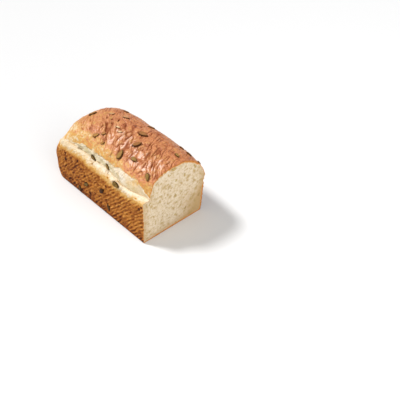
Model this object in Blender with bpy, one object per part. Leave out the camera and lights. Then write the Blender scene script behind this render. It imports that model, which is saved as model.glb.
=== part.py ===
"""Pumpkin seed bread: the larger piece of a tin loaf that has been cut across, with seeds in its crust.

The model is in metres with +Z up. The loaf lies along X, with its cut face at +X and its rear end at -X, and
stands on its flat base, the middle of which is the origin. Its body is one closed skin: a cross-section is
carried from the cut to the rear and drawn in there to close the end. The seeds are fused to that skin.
"""

import math
import random

import bmesh
import bpy
import numpy as np
from mathutils import Matrix, Vector
from mathutils.bvhtree import BVHTree

# Lengths are in millimetres until the mesh is made. While it is drawn, the loaf has its cut face at x = 0
# and its rear at -LENGTH, y = 0 is the middle of its base, and its burst side, the left, faces -Y.
MM = 0.001

# Overall sizes
LENGTH = 199.0
BASE_HALF_WIDTH = 53.5
BASE_CORNER_RADIUS = 2.5

# The walls. The tin pressed slanting ribs into them. Grid rows and columns are half a rib apart, so that
# each rib runs along the diagonals of the grid.
RIB_PITCH = 8.4
RIB_HEIGHT = 0.8
RIB_SHARE_REAR = 0.4
RIB_FADE_STEPS = 2
GRID_STEP = RIB_PITCH / 2
WALL_LEAN_RIGHT = 0.1
WALL_TOP_RIGHT = 46.0

# What changes along the loaf: pairs of a share of the length, from the cut, and a size there.
WALL_TOPS = ((0.0, 66.5), (0.2, 64.0), (0.5, 62.0), (0.8, 61.0), (1.0, 53.4))
GROOVE_DEPTHS = ((0.0, 12.5), (0.22, 5.0), (0.42, 9.5), (0.7, 9.0), (0.85, 5.0), (1.0, 3.0))
GROOVE_HEIGHTS = ((0.0, 70.4), (0.22, 70.0), (0.5, 73.0), (0.8, 74.1), (1.0, 63.4))
RIDGE_HEIGHTS = ((0.0, 107.0), (0.08, 110.0), (0.3, 111.5), (0.6, 111.0), (1.0, 100.6))
RIGHT_SPANS = ((0.0, 60.6), (0.2, 65.0), (0.7, 64.4), (1.0, 60.0))
RIGHT_POWERS = ((0.0, 2.15), (0.15, 2.4), (1.0, 2.4))
LEFT_POWERS = ((0.0, 2.7), (0.3, 2.4), (1.0, 2.05))

# The burst. On the left the wall rounds over into a lip, and behind the lip the dough has torn open up to
# the foot of the dome. Groove depths are measured inwards from the wall.
LIP_WIDTH = 2.4
LIP_CRESTS = ((0.0, 1.0), (0.75, 1.0), (1.0, 0.0))
LIP_POWERS = ((0.0, 5.0), (0.33, 2.2), (1.0, 2.2))

# The dome: superellipse quarters on both sides of the ridge. The right one ends in a small crease.
RIGHT_CENTRE = 45.0
RIGHT_END = 60.0
CREASE_DEPTH = 2.0

# The rear end leans out a little, and is drawn in over a radius that grows from the base to the dome.
REAR_LEAN = 0.138
REAR_LEAN_HEIGHT = 45.0
REAR_RADIUS_BASE = 12.0
REAR_RADIUS_WALL = 6.0
REAR_RADIUS_DOME = 53.0
REAR_WALL_START = 16.0
REAR_DOME_START = 33.0
REAR_DOME_END = 94.0
REAR_CENTRE = np.array([0.0, 40.0])
REAR_BULGE = 1.5
REAR_MIDDLE = 4.0

# Swellings of the crust: the size of one in each kind and how far it stands out, and the distance over
# which they fade in from the base and from the middle of the rear.
LUMPS = ((34.0, 1.3), (15.0, 0.7))
LUMP_FADE = 34.0

# Steps of each stretch of the cross-section, and of the stretches of the length
CORNER_STEPS = 2
WALL_STEPS_LEFT = 15
LIP_STEPS = 5
GROOVE_STEPS = 2
DOME_STEPS = 13
CREASE_STEPS = 3
WALL_STEPS_RIGHT = 10
BASE_STEPS = 6
BEND_STEPS = 12
END_STEPS = 3
CURVE_SAMPLES = 400
SHARP_ANGLE = 40.0

# One seed kernel: a flat drop, round at one end and pointed at the other. Its sizes are shares of its length.
SEED_WIDTH = 0.56
SEED_THICKNESS = 0.22
SEED_POINT = 0.3
SEED_SHOULDER = 0.6
SEED_SHOULDER_HEIGHT = 0.8
SEED_RIM_STEPS = 8
SEED_RIM_LIFT = 0.3

# Where the seeds lie: along the loaf and across it for those on the dome, along and up for those on the left
# wall and in the burst. Then the turn of the pointed end from the cut, in degrees, and the length.
SEEDS_ON_DOME = (
    (-168.0, -4.0, 81, 12.5),
    (-146.0, 14.0, 56, 7.5),
    (-143.5, 37.0, 31, 9.0),
    (-123.0, 21.0, 41, 11.5),
    (-125.5, -31.0, 54, 10.0),
    (-117.0, -24.0, 47, 7.5),
    (-108.0, -33.5, 53, 7.0),
    (-111.0, -3.0, 10, 7.0),
    (-101.0, -7.5, 32, 7.0),
    (-88.5, 38.0, 19, 11.5),
    (-76.0, 12.5, 13, 14.5),
    (-63.0, -8.5, 68, 13.0),
    (-69.5, -32.5, 110, 14.0),
    (-45.5, -28.5, 0, 11.0),
    (-31.0, 43.5, -3, 9.0),
    (-13.5, 41.0, 20, 9.0),
    (-14.0, 20.0, 2, 10.5),
    (-11.5, -34.0, -36, 11.0),
    (-6.5, 53.0, 90, 12.0),
)
SEEDS_ON_LEFT = (
    (-115.5, 76.0, -33, 10.5),
    (-85.0, 77.0, -56, 9.5),
    (-55.5, 69.0, -10, 12.0),
    (-124.5, 27.5, 12, 11.0),
    (-88.0, 38.5, -69, 10.0),
    (-142.5, 9.0, -90, 10.0),
    (-75.5, 17.0, -83, 13.0),
)

# The right side and the rear, which face away, carry seeds at about the same distances.
SEEDS_ON_RIGHT = 9
RIGHT_SEED_START = 0.7
RIGHT_SEED_HEIGHTS = (14.0, 84.0)
SEEDS_ON_REAR = 4
REAR_SEED_HEIGHTS = (18.0, 84.0)
REAR_SEED_SPREAD = 36.0
SEED_LENGTHS = (9.0, 13.0)
RANDOM_SEED = 5


def mix(start, end, share):
    """Blend from start to end."""
    return start + (end - start) * share


def ramp(value, start, end):
    """0 at start and before it, 1 at end and after it, and a smooth turn between."""
    t = np.clip((value - start) / (end - start), 0.0, 1.0)
    return t * t * (3 - 2 * t)


def lattice_value(ix, iy, iz, seed):
    """A fixed pseudo-random number from -1 to 1 for each lattice point, by integer hashing."""
    h = (ix * 374761393 + iy * 668265263 + iz * 1440662683 + seed * 974634777) & 0xFFFFFFFF
    h = ((h ^ (h >> 13)) * 1274126177) & 0xFFFFFFFF
    h = ((h ^ (h >> 16)) * 2246822519) & 0xFFFFFFFF
    return ((h ^ (h >> 15)) & 0xFFFFFF) / float(0x7FFFFF) - 1.0


def smooth_noise(points, cell, seed):
    """Value noise from -1 to 1: lattice values blended smoothly between the corners of each cell."""
    p = points / cell
    corner = np.floor(p).astype(np.int64)
    f = p - corner
    f = f * f * f * (f * (f * 6 - 15) + 10)
    total = np.zeros(p.shape[:-1])
    for dx in (0, 1):
        for dy in (0, 1):
            for dz in (0, 1):
                weight = np.ones(p.shape[:-1])
                for axis, far in enumerate((dx, dy, dz)):
                    weight = weight * (f[..., axis] if far else 1 - f[..., axis])
                ix, iy, iz = corner[..., 0] + dx, corner[..., 1] + dy, corner[..., 2] + dz
                total += weight * lattice_value(ix, iy, iz, seed)
    return total


def superellipse(power, steps, start=0.0):
    """Points of a unit superellipse quarter to (0, 1), from (1, 0) or from height start, evenly spaced."""
    angle = np.linspace(0.0, math.pi / 2, CURVE_SAMPLES)
    curve = np.stack([np.cos(angle) ** (2 / power), np.sin(angle) ** (2 / power)], axis=1)
    curve = curve[curve[:, 1] >= start]
    length = np.concatenate([[0.0], np.cumsum(np.hypot(*np.diff(curve, axis=0).T))])
    even = np.linspace(0.0, length[-1], steps + 1)
    return np.interp(even, length, curve[:, 0]), np.interp(even, length, curve[:, 1])


def straight(start, end, steps):
    """Evenly spaced points from start to end."""
    return np.linspace(start[0], end[0], steps + 1), np.linspace(start[1], end[1], steps + 1)


def along(knots, t):
    """The size at share t of the length, with smooth turns between the given pairs."""
    for (start, size), (end, next_size) in zip(knots, knots[1:]):
        if t <= end:
            break
    return mix(size, next_size, ramp(t, start, end))


def cross_section(t):
    """The outline at share t of the length from the cut: up the left wall, over the dome and back below.

    Each stretch gives its points but the last, which the next stretch starts with.
    """
    half = BASE_HALF_WIDTH
    radius = BASE_CORNER_RADIUS
    ridge = along(RIDGE_HEIGHTS, t)
    bend = np.linspace(0.0, math.pi / 2, CORNER_STEPS + 1)
    left_corner = (-half + radius * (1 - np.sin(bend)), radius * (1 - np.cos(bend)))

    wall_top = along(WALL_TOPS, t)
    left_wall = straight((-half, radius), (-half, wall_top), WALL_STEPS_LEFT)

    groove = (-half + along(GROOVE_DEPTHS, t), along(GROOVE_HEIGHTS, t))
    crest = (groove[0] - LIP_WIDTH, groove[1] + along(LIP_CRESTS, t))
    across, up = superellipse(along(LIP_POWERS, t), LIP_STEPS)
    lip = (crest[0] - (crest[0] + half) * across, wall_top + (crest[1] - wall_top) * up)
    groove_side = straight(crest, groove, GROOVE_STEPS)

    across, up = superellipse(along(LEFT_POWERS, t), DOME_STEPS)
    left_dome = (groove[0] * across, groove[1] + (ridge - groove[1]) * up)

    rise = ridge - RIGHT_CENTRE
    across, up = superellipse(along(RIGHT_POWERS, t), DOME_STEPS, start=(RIGHT_END - RIGHT_CENTRE) / rise)
    right_dome = (along(RIGHT_SPANS, t) * across[::-1], RIGHT_CENTRE + rise * up[::-1])

    dome_end = (right_dome[0][-1], right_dome[1][-1])
    wall_end = (half + WALL_LEAN_RIGHT * WALL_TOP_RIGHT, WALL_TOP_RIGHT)
    crease_y, crease_z = straight(dome_end, wall_end, CREASE_STEPS)
    crease = (crease_y - CREASE_DEPTH * np.sin(np.linspace(0, math.pi, CREASE_STEPS + 1)), crease_z)
    right_wall = straight(wall_end, (half + WALL_LEAN_RIGHT * radius, radius), WALL_STEPS_RIGHT)
    right_corner = (right_wall[0][-1] - radius * (1 - np.cos(bend)), radius * (1 - np.sin(bend)))
    base = straight((right_corner[0][-1], 0.0), (-half + radius, 0.0), BASE_STEPS)

    left_side = (left_corner, left_wall, lip, groove_side, left_dome)
    right_side = (right_dome, crease, right_wall, right_corner)
    return np.concatenate([np.stack(stretch, axis=1)[:-1] for stretch in (*left_side, *right_side, base)])


def rear_radius(height):
    """The radius over which the rear end is drawn in, at the given height of the outline."""
    low = mix(REAR_RADIUS_BASE, REAR_RADIUS_WALL, ramp(height, 0, REAR_WALL_START))
    return mix(low, REAR_RADIUS_DOME, ramp(height, REAR_DOME_START, REAR_DOME_END))


def straight_rings():
    """Rings of the skin from the cut to where the rear starts to bend."""
    bend_start = LENGTH - REAR_RADIUS_DOME
    columns = round(bend_start / GRID_STEP)
    rings = []
    for column in range(columns):
        x = bend_start * column / columns
        outline = cross_section(x / LENGTH)
        rings.append(np.column_stack([np.full(len(outline), -x), outline]))
    return rings


def bend_rings():
    """Rings round the bend into the rear end. Each point goes straight on, then round its own radius."""
    bend_start = LENGTH - REAR_RADIUS_DOME
    rings = []
    for step in range(BEND_STEPS + 1):
        outline = cross_section(mix(bend_start / LENGTH, 1.0, step / BEND_STEPS))
        radius = rear_radius(outline[:, 1])
        rear = LENGTH + REAR_LEAN * np.minimum(outline[:, 1], REAR_LEAN_HEIGHT)
        run = rear - radius - bend_start
        path = (run + radius * math.pi / 2) * step / BEND_STEPS
        angle = np.maximum(path - run, 0.0) / radius
        x = bend_start + np.minimum(path, run) + radius * np.sin(angle)
        inset = radius * (1 - np.cos(angle))
        reach = np.linalg.norm(outline - REAR_CENTRE, axis=1)
        outline = REAR_CENTRE + (outline - REAR_CENTRE) * ((reach - inset) / reach)[:, None]
        rings.append(np.column_stack([-x, outline]))
    return rings


def end_rings(edge):
    """Rings across the rear end, from the edge of the bend to a small circle in the middle."""
    length = np.concatenate([[0.0], np.cumsum(np.linalg.norm(np.diff(edge, axis=0), axis=1))])
    length /= length[-1] + np.linalg.norm(edge[0] - edge[-1])
    start = math.atan2(edge[0, 2] - REAR_CENTRE[1], edge[0, 1] - REAR_CENTRE[0])
    turn = start - 2 * math.pi * length
    middle = np.full_like(edge, edge[:, 0].min() - REAR_BULGE)
    middle[:, 1] = REAR_CENTRE[0] + REAR_MIDDLE * np.cos(turn)
    middle[:, 2] = REAR_CENTRE[1] + REAR_MIDDLE * np.sin(turn)
    return [mix(edge, middle, step / END_STEPS) for step in range(1, END_STEPS + 1)]


def rib_height(ring, place, ring_count, place_count):
    """Height of the ribs at grid points: high and low by turns on the walls, fading to their edges."""
    left_row = place - CORNER_STEPS
    right_row = place_count - BASE_STEPS - CORNER_STEPS - place
    on_left = ramp(np.minimum(left_row, WALL_STEPS_LEFT - 1 - left_row), 0, RIB_FADE_STEPS)
    on_right = ramp(np.minimum(right_row, WALL_STEPS_RIGHT - right_row), 0, RIB_FADE_STEPS)
    before_bend = ring < ring_count - END_STEPS - BEND_STEPS / 2
    fade = mix(1.0, RIB_SHARE_REAR, ring / ring_count) * before_bend
    return np.where((ring + place) % 2 == 0, 0.5, -0.5) * RIB_HEIGHT * fade * (on_left + on_right)


def add_relief(points):
    """Raise ribs along the normals of the walls, and lumps away from the loaf's axis on all but the base."""
    lengthways = np.gradient(points, axis=0)
    around = np.roll(points, -1, axis=1) - np.roll(points, 1, axis=1)
    normal = np.cross(around, lengthways)
    normal /= np.linalg.norm(normal, axis=2, keepdims=True)
    normal[0, :, 0] = 0.0
    ring, place = np.indices(points.shape[:2])
    ribs = rib_height(ring, place, *points.shape[:2])
    height = points[..., 2]
    lumps = sum(depth * smooth_noise(points, cell, seed) for seed, (cell, depth) in enumerate(LUMPS))
    reach = np.hypot(points[..., 1] - REAR_CENTRE[0], height - REAR_CENTRE[1])
    lumps = lumps * ramp(height, BASE_CORNER_RADIUS, LUMP_FADE) * ramp(reach, REAR_MIDDLE, LUMP_FADE)
    axis = np.zeros_like(points)
    axis[..., 0] = np.maximum(points[..., 0], REAR_RADIUS_DOME - LENGTH)
    axis[..., 1:] = REAR_CENTRE
    away = points - axis
    away /= np.linalg.norm(away, axis=2, keepdims=True)
    return points + normal * ribs[..., None] + away * lumps[..., None]


def skin_points():
    """The skin as an array (ring, point of the ring, xyz), from the cut to the middle of the rear."""
    rings = straight_rings() + bend_rings()
    return add_relief(np.array(rings + end_rings(rings[-1])))


def skin_mesh(points):
    """A closed bmesh over the rings. Both triangles of a cell share the diagonal that a rib follows."""
    rings, count = points.shape[:2]
    mesh = bmesh.new()
    grid = [[mesh.verts.new(place * MM) for place in ring] for ring in points]
    mesh.faces.new(grid[0]).material_index = 1
    for near, far in zip(grid, grid[1:]):
        for k in range(count):
            after = (k + 1) % count
            mesh.faces.new((near[k], far[k], near[after]))
            mesh.faces.new((near[after], far[k], far[after]))
    middle = mesh.verts.new(points[-1].mean(axis=0) * MM)
    for k in range(count):
        mesh.faces.new((grid[-1][k], middle, grid[-1][(k + 1) % count]))
    bmesh.ops.recalc_face_normals(mesh, faces=mesh.faces)
    return mesh


def make_object(name, mesh, materials):
    """An object in the scene from a bmesh, shaded smooth but for its sharp edges."""
    data = bpy.data.meshes.new(name)
    mesh.to_mesh(data)
    mesh.free()
    for material in materials:
        data.materials.append(material)
    data.shade_smooth()
    data.set_sharp_from_angle(angle=math.radians(SHARP_ANGLE))
    obj = bpy.data.objects.new(name, data)
    bpy.context.scene.collection.objects.link(obj)
    return obj


def make_material(name, colour, roughness):
    """A plain, rough surface."""
    material = bpy.data.materials.new(name)
    material.use_nodes = True
    shader = material.node_tree.nodes["Principled BSDF"]
    shader.inputs["Base Color"].default_value = (*colour, 1.0)
    shader.inputs["Roughness"].default_value = roughness
    shader.inputs["Metallic"].default_value = 0.0
    return material


def seed_ring(mesh, length, width, height):
    """A drop-shaped ring of vertices, pointed towards +X."""
    ring = []
    for step in range(SEED_RIM_STEPS):
        angle = 2 * math.pi * step / SEED_RIM_STEPS
        across = width / 2 * math.sin(angle) * (1 - SEED_POINT * math.cos(angle))
        ring.append(mesh.verts.new((length / 2 * math.cos(angle), across, height)))
    return ring


def make_seed(name, place, outward, heading, length, material):
    """A seed kernel lying at a place of the crust, half sunk in it, with its pointed end towards heading."""
    width = length * SEED_WIDTH
    half_thickness = length * SEED_THICKNESS / 2
    mesh = bmesh.new()
    rim = seed_ring(mesh, length, width, 0.0)
    shoulder_height = half_thickness * SEED_SHOULDER_HEIGHT
    shoulder = seed_ring(mesh, length * SEED_SHOULDER, width * SEED_SHOULDER, shoulder_height)
    top = mesh.verts.new((0, 0, half_thickness))
    bottom = mesh.verts.new((0, 0, -half_thickness))
    for k in range(SEED_RIM_STEPS):
        after = (k + 1) % SEED_RIM_STEPS
        mesh.faces.new((bottom, rim[after], rim[k]))
        mesh.faces.new((rim[k], rim[after], shoulder[after], shoulder[k]))
        mesh.faces.new((shoulder[k], shoulder[after], top))
    side = outward.cross(heading).normalized()
    forward = side.cross(outward)
    frame = Matrix((forward, side, outward)).transposed().to_4x4()
    frame.translation = (place + outward * SEED_RIM_LIFT) * MM
    bmesh.ops.transform(mesh, matrix=frame @ Matrix.Scale(MM, 4), verts=mesh.verts)
    return make_object(name, mesh, (material,))


def seed_places():
    """For each seed: where a line to the crust starts, which way it runs, the seed's heading and length."""
    outside = 2 * LENGTH
    places = []
    for x, y, turn, length in SEEDS_ON_DOME:
        turn = math.radians(turn)
        places.append(((x, y, outside), (0, 0, -1), (math.cos(turn), math.sin(turn), 0), length))
    for x, z, turn, length in SEEDS_ON_LEFT:
        turn = math.radians(turn)
        places.append(((x, -outside, z), (0, 1, 0), (math.cos(turn), 0, math.sin(turn)), length))
    draw = random.Random(RANDOM_SEED)
    golden = (math.sqrt(5) - 1) / 2
    for k in range(SEEDS_ON_RIGHT):
        x = -LENGTH * (k + RIGHT_SEED_START) / (SEEDS_ON_RIGHT + 1)
        z = mix(*RIGHT_SEED_HEIGHTS, k * golden % 1)
        turn = draw.uniform(0, math.pi)
        heading = (math.cos(turn), 0, math.sin(turn))
        places.append(((x, outside, z), (0, -1, 0), heading, draw.uniform(*SEED_LENGTHS)))
    for k in range(SEEDS_ON_REAR):
        y = mix(-REAR_SEED_SPREAD, REAR_SEED_SPREAD, k * golden % 1)
        z = mix(*REAR_SEED_HEIGHTS, (k + 0.5) / SEEDS_ON_REAR)
        turn = draw.uniform(0, math.pi)
        heading = (0, math.cos(turn), math.sin(turn))
        places.append(((-outside, y, z), (1, 0, 0), heading, draw.uniform(*SEED_LENGTHS)))
    return places


def add_seeds(loaf, material):
    """Lay the seeds on the crust and fuse them to the loaf."""
    crust = BVHTree.FromObject(loaf, bpy.context.evaluated_depsgraph_get())
    seeds = bpy.data.collections.new("seeds")
    bpy.context.scene.collection.children.link(seeds)
    for number, (start, way, heading, length) in enumerate(seed_places()):
        place, outward, _, _ = crust.ray_cast(Vector(start) * MM, Vector(way))
        seed = make_seed(f"seed_{number}", place / MM, outward, Vector(heading), length, material)
        bpy.context.scene.collection.objects.unlink(seed)
        seeds.objects.link(seed)
    union = loaf.modifiers.new("seeds", "BOOLEAN")
    union.operation = "UNION"
    union.operand_type = "COLLECTION"
    union.collection = seeds
    union.solver = "EXACT"
    union.material_mode = "TRANSFER"
    fused = bpy.data.meshes.new_from_object(loaf.evaluated_get(bpy.context.evaluated_depsgraph_get()))
    loaf.modifiers.clear()
    loaf.data = fused
    for seed in list(seeds.objects):
        bpy.data.objects.remove(seed)
    bpy.data.collections.remove(seeds)


def centre_on_box(obj):
    """Move the mesh so that the middle of the base of its bounding box is the origin."""
    corners = [vertex.co for vertex in obj.data.vertices]
    low = Vector(min(corner[axis] for corner in corners) for axis in range(3))
    high = Vector(max(corner[axis] for corner in corners) for axis in range(3))
    middle = (low + high) / 2
    obj.data.transform(Matrix.Translation((-middle.x, -middle.y, -low.z)))


def main():
    for obj in list(bpy.data.objects):
        bpy.data.objects.remove(obj)
    crust = make_material("crust", (0.42, 0.17, 0.055), 0.6)
    crumb = make_material("crumb", (0.70, 0.58, 0.40), 0.9)
    seed = make_material("seed", (0.12, 0.10, 0.04), 0.45)
    loaf = make_object("loaf", skin_mesh(skin_points()), (crust, crumb))
    add_seeds(loaf, seed)
    centre_on_box(loaf)


main()
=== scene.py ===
"""Pumpkin seed bread: the larger piece of a cut tin loaf, dressed in crust, crumb and seeds.

The loaf lies along X with its cut face at +X and stands on its base. Its skin is one grid of rings, carried
from the cut to the rear, and each piece of crust is a stretch of that grid with its relief raised along the
normals. While it is drawn it has its cut at x = 0 and its rear at -LENGTH, in millimetres.
"""

import functools
import math
import types

import bpy
import numpy as np
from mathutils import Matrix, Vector


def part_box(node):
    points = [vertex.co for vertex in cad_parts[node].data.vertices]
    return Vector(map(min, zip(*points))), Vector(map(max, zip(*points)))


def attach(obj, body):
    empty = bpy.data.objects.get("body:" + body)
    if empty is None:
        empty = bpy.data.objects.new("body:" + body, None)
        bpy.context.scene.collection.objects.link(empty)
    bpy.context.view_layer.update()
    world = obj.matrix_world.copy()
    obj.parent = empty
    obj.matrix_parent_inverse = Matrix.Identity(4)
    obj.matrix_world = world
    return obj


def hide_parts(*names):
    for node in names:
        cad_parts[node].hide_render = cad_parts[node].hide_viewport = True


bl_info = {
    "name": "Pumpkin seed bread",
    "version": (1, 0, 0),
    "blender": (4, 5, 0),
    "location": "View3D > Sidebar > Bread",
    "description": "Dresses a cut tin loaf in baked crust, torn dough, crumb and pumpkin seeds",
    "category": "Object",
}

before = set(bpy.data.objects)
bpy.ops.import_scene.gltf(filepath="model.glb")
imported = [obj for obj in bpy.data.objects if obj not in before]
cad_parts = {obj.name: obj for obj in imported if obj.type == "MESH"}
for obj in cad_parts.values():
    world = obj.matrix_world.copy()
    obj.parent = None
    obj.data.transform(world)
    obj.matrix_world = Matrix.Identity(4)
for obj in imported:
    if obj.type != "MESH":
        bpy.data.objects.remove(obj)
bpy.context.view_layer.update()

MM = 0.001
CUT_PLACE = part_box("loaf")[1][0] / MM
DRAWING_MIDDLE = -4.523

# The form of the loaf. What changes along it is given as pairs: a share of the length from the cut, and the
# size there.
LENGTH = 199.0
BASE_HALF_WIDTH = 53.5
BASE_CORNER_RADIUS = 2.5
WALL_LEAN_RIGHT = 0.1
WALL_TOP_RIGHT = 46.0
WALL_TOPS = ((0.0, 66.5), (0.2, 64.0), (0.5, 62.0), (0.8, 61.0), (1.0, 53.4))
GROOVE_DEPTHS = ((0.0, 12.5), (0.22, 5.0), (0.42, 9.5), (0.7, 9.0), (0.85, 5.0), (1.0, 3.0))
GROOVE_HEIGHTS = ((0.0, 70.4), (0.22, 70.0), (0.5, 73.0), (0.8, 74.1), (1.0, 63.4))
RIDGE_HEIGHTS = ((0.0, 107.0), (0.08, 110.0), (0.3, 111.5), (0.6, 111.0), (1.0, 100.6))
RIGHT_SPANS = ((0.0, 60.6), (0.2, 65.0), (0.7, 64.4), (1.0, 60.0))
RIGHT_POWERS = ((0.0, 2.15), (0.15, 2.4), (1.0, 2.4))
LEFT_POWERS = ((0.0, 2.7), (0.3, 2.4), (1.0, 2.05))
LIP_WIDTH = 2.4
LIP_CRESTS = ((0.0, 1.0), (0.75, 1.0), (1.0, 0.0))
LIP_POWERS = ((0.0, 5.0), (0.33, 2.2), (1.0, 2.2))
RIGHT_CENTRE = 45.0
RIGHT_END = 60.0
CREASE_DEPTH = 2.0
REAR_LEAN = 0.138
REAR_LEAN_HEIGHT = 45.0
REAR_RADIUS_BASE = 12.0
REAR_RADIUS_WALL = 6.0
REAR_RADIUS_DOME = 53.0
REAR_WALL_START = 16.0
REAR_DOME_START = 33.0
REAR_DOME_END = 94.0
REAR_CENTRE = np.array([0.0, 40.0])
REAR_BULGE = 1.5
REAR_MIDDLE = 4.0
LUMPS = ((34.0, 1.3), (15.0, 0.7))
LUMP_FADE = 34.0

# Steps of the grid: round the section by stretches, and along the loaf
STRETCHES = {
    "left_corner": 5,
    "left_wall": 100,
    "lip": 24,
    "groove": 8,
    "left_dome": 112,
    "right_dome": 140,
    "crease": 22,
    "right_wall": 64,
    "right_corner": 5,
    "base": 50,
}
ENDS = dict(zip(STRETCHES, np.cumsum(list(STRETCHES.values())).tolist()))
BURST_ROWS = 36
RING_STEP = 0.65
BEND_STEPS = 112
END_STEPS = 56
CURVE_SAMPLES = 600

# Where the pale dough of the burst ends, round the skin from the groove, and how far the folds of the dome
# lean: both by share of the length.
DOUGH_TOPS = (
    (0.0, 4.0),
    (0.04, 8.0),
    (0.075, 14.0),
    (0.13, 22.0),
    (0.3, 21.0),
    (0.38, 13.0),
    (0.68, 11.0),
    (0.85, 3.0),
    (1.0, 1.0),
)
FOLD_LEANS = ((0.0, 0.5), (0.18, 0.3), (0.4, 0.2), (0.65, 0.8), (1.0, 0.9))

# From one of the tin's ribs to the next, along the wall
RIB_PITCH = 6.8

# Marks in the crust: place along the skin from the cut and round it from the groove, length, width, turn in
# degrees and strength. First folds and cracks, then places that have baked darker (or paler, below 0).
FOLDS = (
    (37.3, 60.8, 21.0, 3.4, 73, 1.0),
    (28.5, 43.0, 14.5, 2.4, 82, 0.9),
    (36.2, 35.4, 19.0, 1.8, 87, 0.7),
    (52.9, 77.9, 10.0, 2.8, 65, 1.0),
    (50.6, 63.3, 7.0, 2.4, 73, 0.8),
    (85.0, 60.8, 22.0, 3.2, 79, 1.0),
    (81.2, 46.0, 7.5, 2.8, -33, 1.0),
    (84.4, 40.8, 8.0, 2.6, 90, 0.9),
    (74.6, 50.4, 12.5, 2.6, 62, 0.9),
    (93.8, 50.0, 20.0, 2.6, 83, 0.8),
    (85.2, 25.4, 16.0, 1.6, 90, 0.6),
    (55.4, 43.8, 17.5, 3.4, 88, 0.9),
    (68.3, 50.4, 6.0, 2.0, 90, 0.8),
    (38.8, 81.2, 7.0, 2.2, 67, 0.9),
    (32.9, 72.9, 11.0, 3.6, 58, 0.6),
    (18.8, 52.9, 14.0, 2.4, 50, 0.8),
    (8.5, 65.0, 12.0, 2.0, 84, 0.8),
    (129.6, 57.0, 13.0, 4.8, 39, 1.5),
    (121.5, 49.6, 12.0, 3.8, 47, 1.4),
    (130.8, 50.0, 8.0, 3.4, 71, 1.1),
    (134.2, 70.0, 6.0, 3.8, 60, 1.3),
    (125.8, 64.2, 7.0, 4.6, 40, 1.3),
    (125.0, 75.0, 10.0, 3.4, 60, 1.2),
    (143.3, 67.0, 7.0, 3.0, 45, 0.9),
    (156.7, 46.7, 7.0, 2.4, 40, 0.6),
    (144.2, 35.8, 8.5, 2.4, 52, 0.8),
    (155.8, 29.0, 8.0, 2.2, 15, 0.6),
    (110.6, -6.5, 7.0, 1.6, 90, 0.9),
    (80.0, -4.0, 6.0, 1.6, 60, 0.7),
)
PATCHES = (
    (101.0, 83.3, 13.0, 7.0, 55, 0.24),
    (76.7, 93.3, 8.0, 4.0, 80, 0.22),
    (66.0, 100.0, 13.0, 4.0, 80, 0.18),
    (51.7, 97.5, 6.0, 5.0, 0, 0.18),
    (21.7, 88.3, 5.0, 5.0, 0, 0.18),
    (110.0, 73.3, 12.0, 9.0, 60, 0.24),
    (53.3, 54.0, 6.0, 5.0, 0, 0.2),
    (185.0, 23.3, 12.0, 3.0, 0, 0.3),
    (146.7, 45.8, 8.0, 6.0, 30, -0.22),
    (138.3, 70.0, 6.0, 4.0, 40, -0.25),
    (149.2, 78.3, 8.0, 4.0, 20, -0.25),
    (173.8, -21.3, 5.0, 4.0, 0, 0.35),
    (175.0, -32.5, 8.0, 4.5, -30, 0.35),
    (143.8, -22.5, 7.0, 3.0, -60, 0.2),
    (150.0, -35.0, 11.0, 3.0, -45, 0.25),
    (157.5, -51.0, 6.0, 4.0, -45, 0.25),
    (191.0, -52.5, 6.0, 4.0, 0, 0.25),
    (118.8, -66.0, 4.5, 7.0, 0, 0.35),
    (105.0, -57.5, 5.0, 4.0, 0, 0.25),
    (97.5, -57.5, 5.0, 4.0, 0, 0.25),
    (80.0, -55.0, 7.0, 7.0, 0, 0.2),
    (78.8, -27.5, 5.0, 4.0, -45, 0.35),
    (7.5, -25.0, 4.0, 6.0, 0, 0.35),
    (2.5, -19.0, 4.0, 4.0, 0, 0.35),
    (15.0, -9.4, 4.5, 2.5, 0, 0.5),
    (75.0, -9.4, 4.0, 2.0, 0, 0.3),
    (191.0, -12.5, 7.0, 5.0, 0, 0.3),
    (156.0, -64.0, 9.0, 7.0, 0, -0.18),
)

# Seeds on the crust: place along the loaf and across it (dome) or up (left), turn in degrees, length, tone
# (dark brown 0, dark olive 0.2, olive 0.4, golden 0.6, orange-brown 0.75, covered with crust 0.9, pale flake
# 1), and how far it has sunk in, as a share of its thickness. Those on the right and the rear go by a rule.
SEEDS_ON_DOME = (
    (-168.0, -4.0, 81, 12.5, 0.66, 0.1),
    (-146.0, 14.0, 56, 7.5, 0.9, 0.3),
    (-143.5, 37.0, 31, 9.0, 0.75, 0.2),
    (-123.0, 21.0, 41, 9.5, 0.88, 0.15),
    (-125.5, -31.0, 54, 10.0, 0.6, 0.2),
    (-117.0, -24.0, 47, 7.5, 0.68, 0.2),
    (-108.0, -33.5, 53, 7.0, 0.6, 0.25),
    (-111.0, -3.0, 10, 7.0, 1.0, 0.15),
    (-101.0, -7.5, 32, 7.0, 0.95, 0.2),
    (-88.5, 38.0, 19, 11.5, 0.7, 0.1),
    (-76.0, 12.5, 13, 15.0, 0.74, 0.15),
    (-63.0, -8.5, 68, 13.5, 0.74, 0.05),
    (-69.5, -32.5, 92, 14.5, 0.48, 0.05),
    (-45.5, -28.5, 0, 11.0, 0.42, 0.0),
    (-31.0, 43.5, -3, 9.0, 0.75, 0.1),
    (-13.5, 41.0, 20, 9.0, 0.7, 0.1),
    (-13.0, 18.5, -10, 8.5, 0.45, 0.05),
    (-11.5, -34.0, -62, 11.0, 0.35, 0.0),
    (-6.5, 53.0, 90, 12.0, 0.9, 0.1),
)
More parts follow.
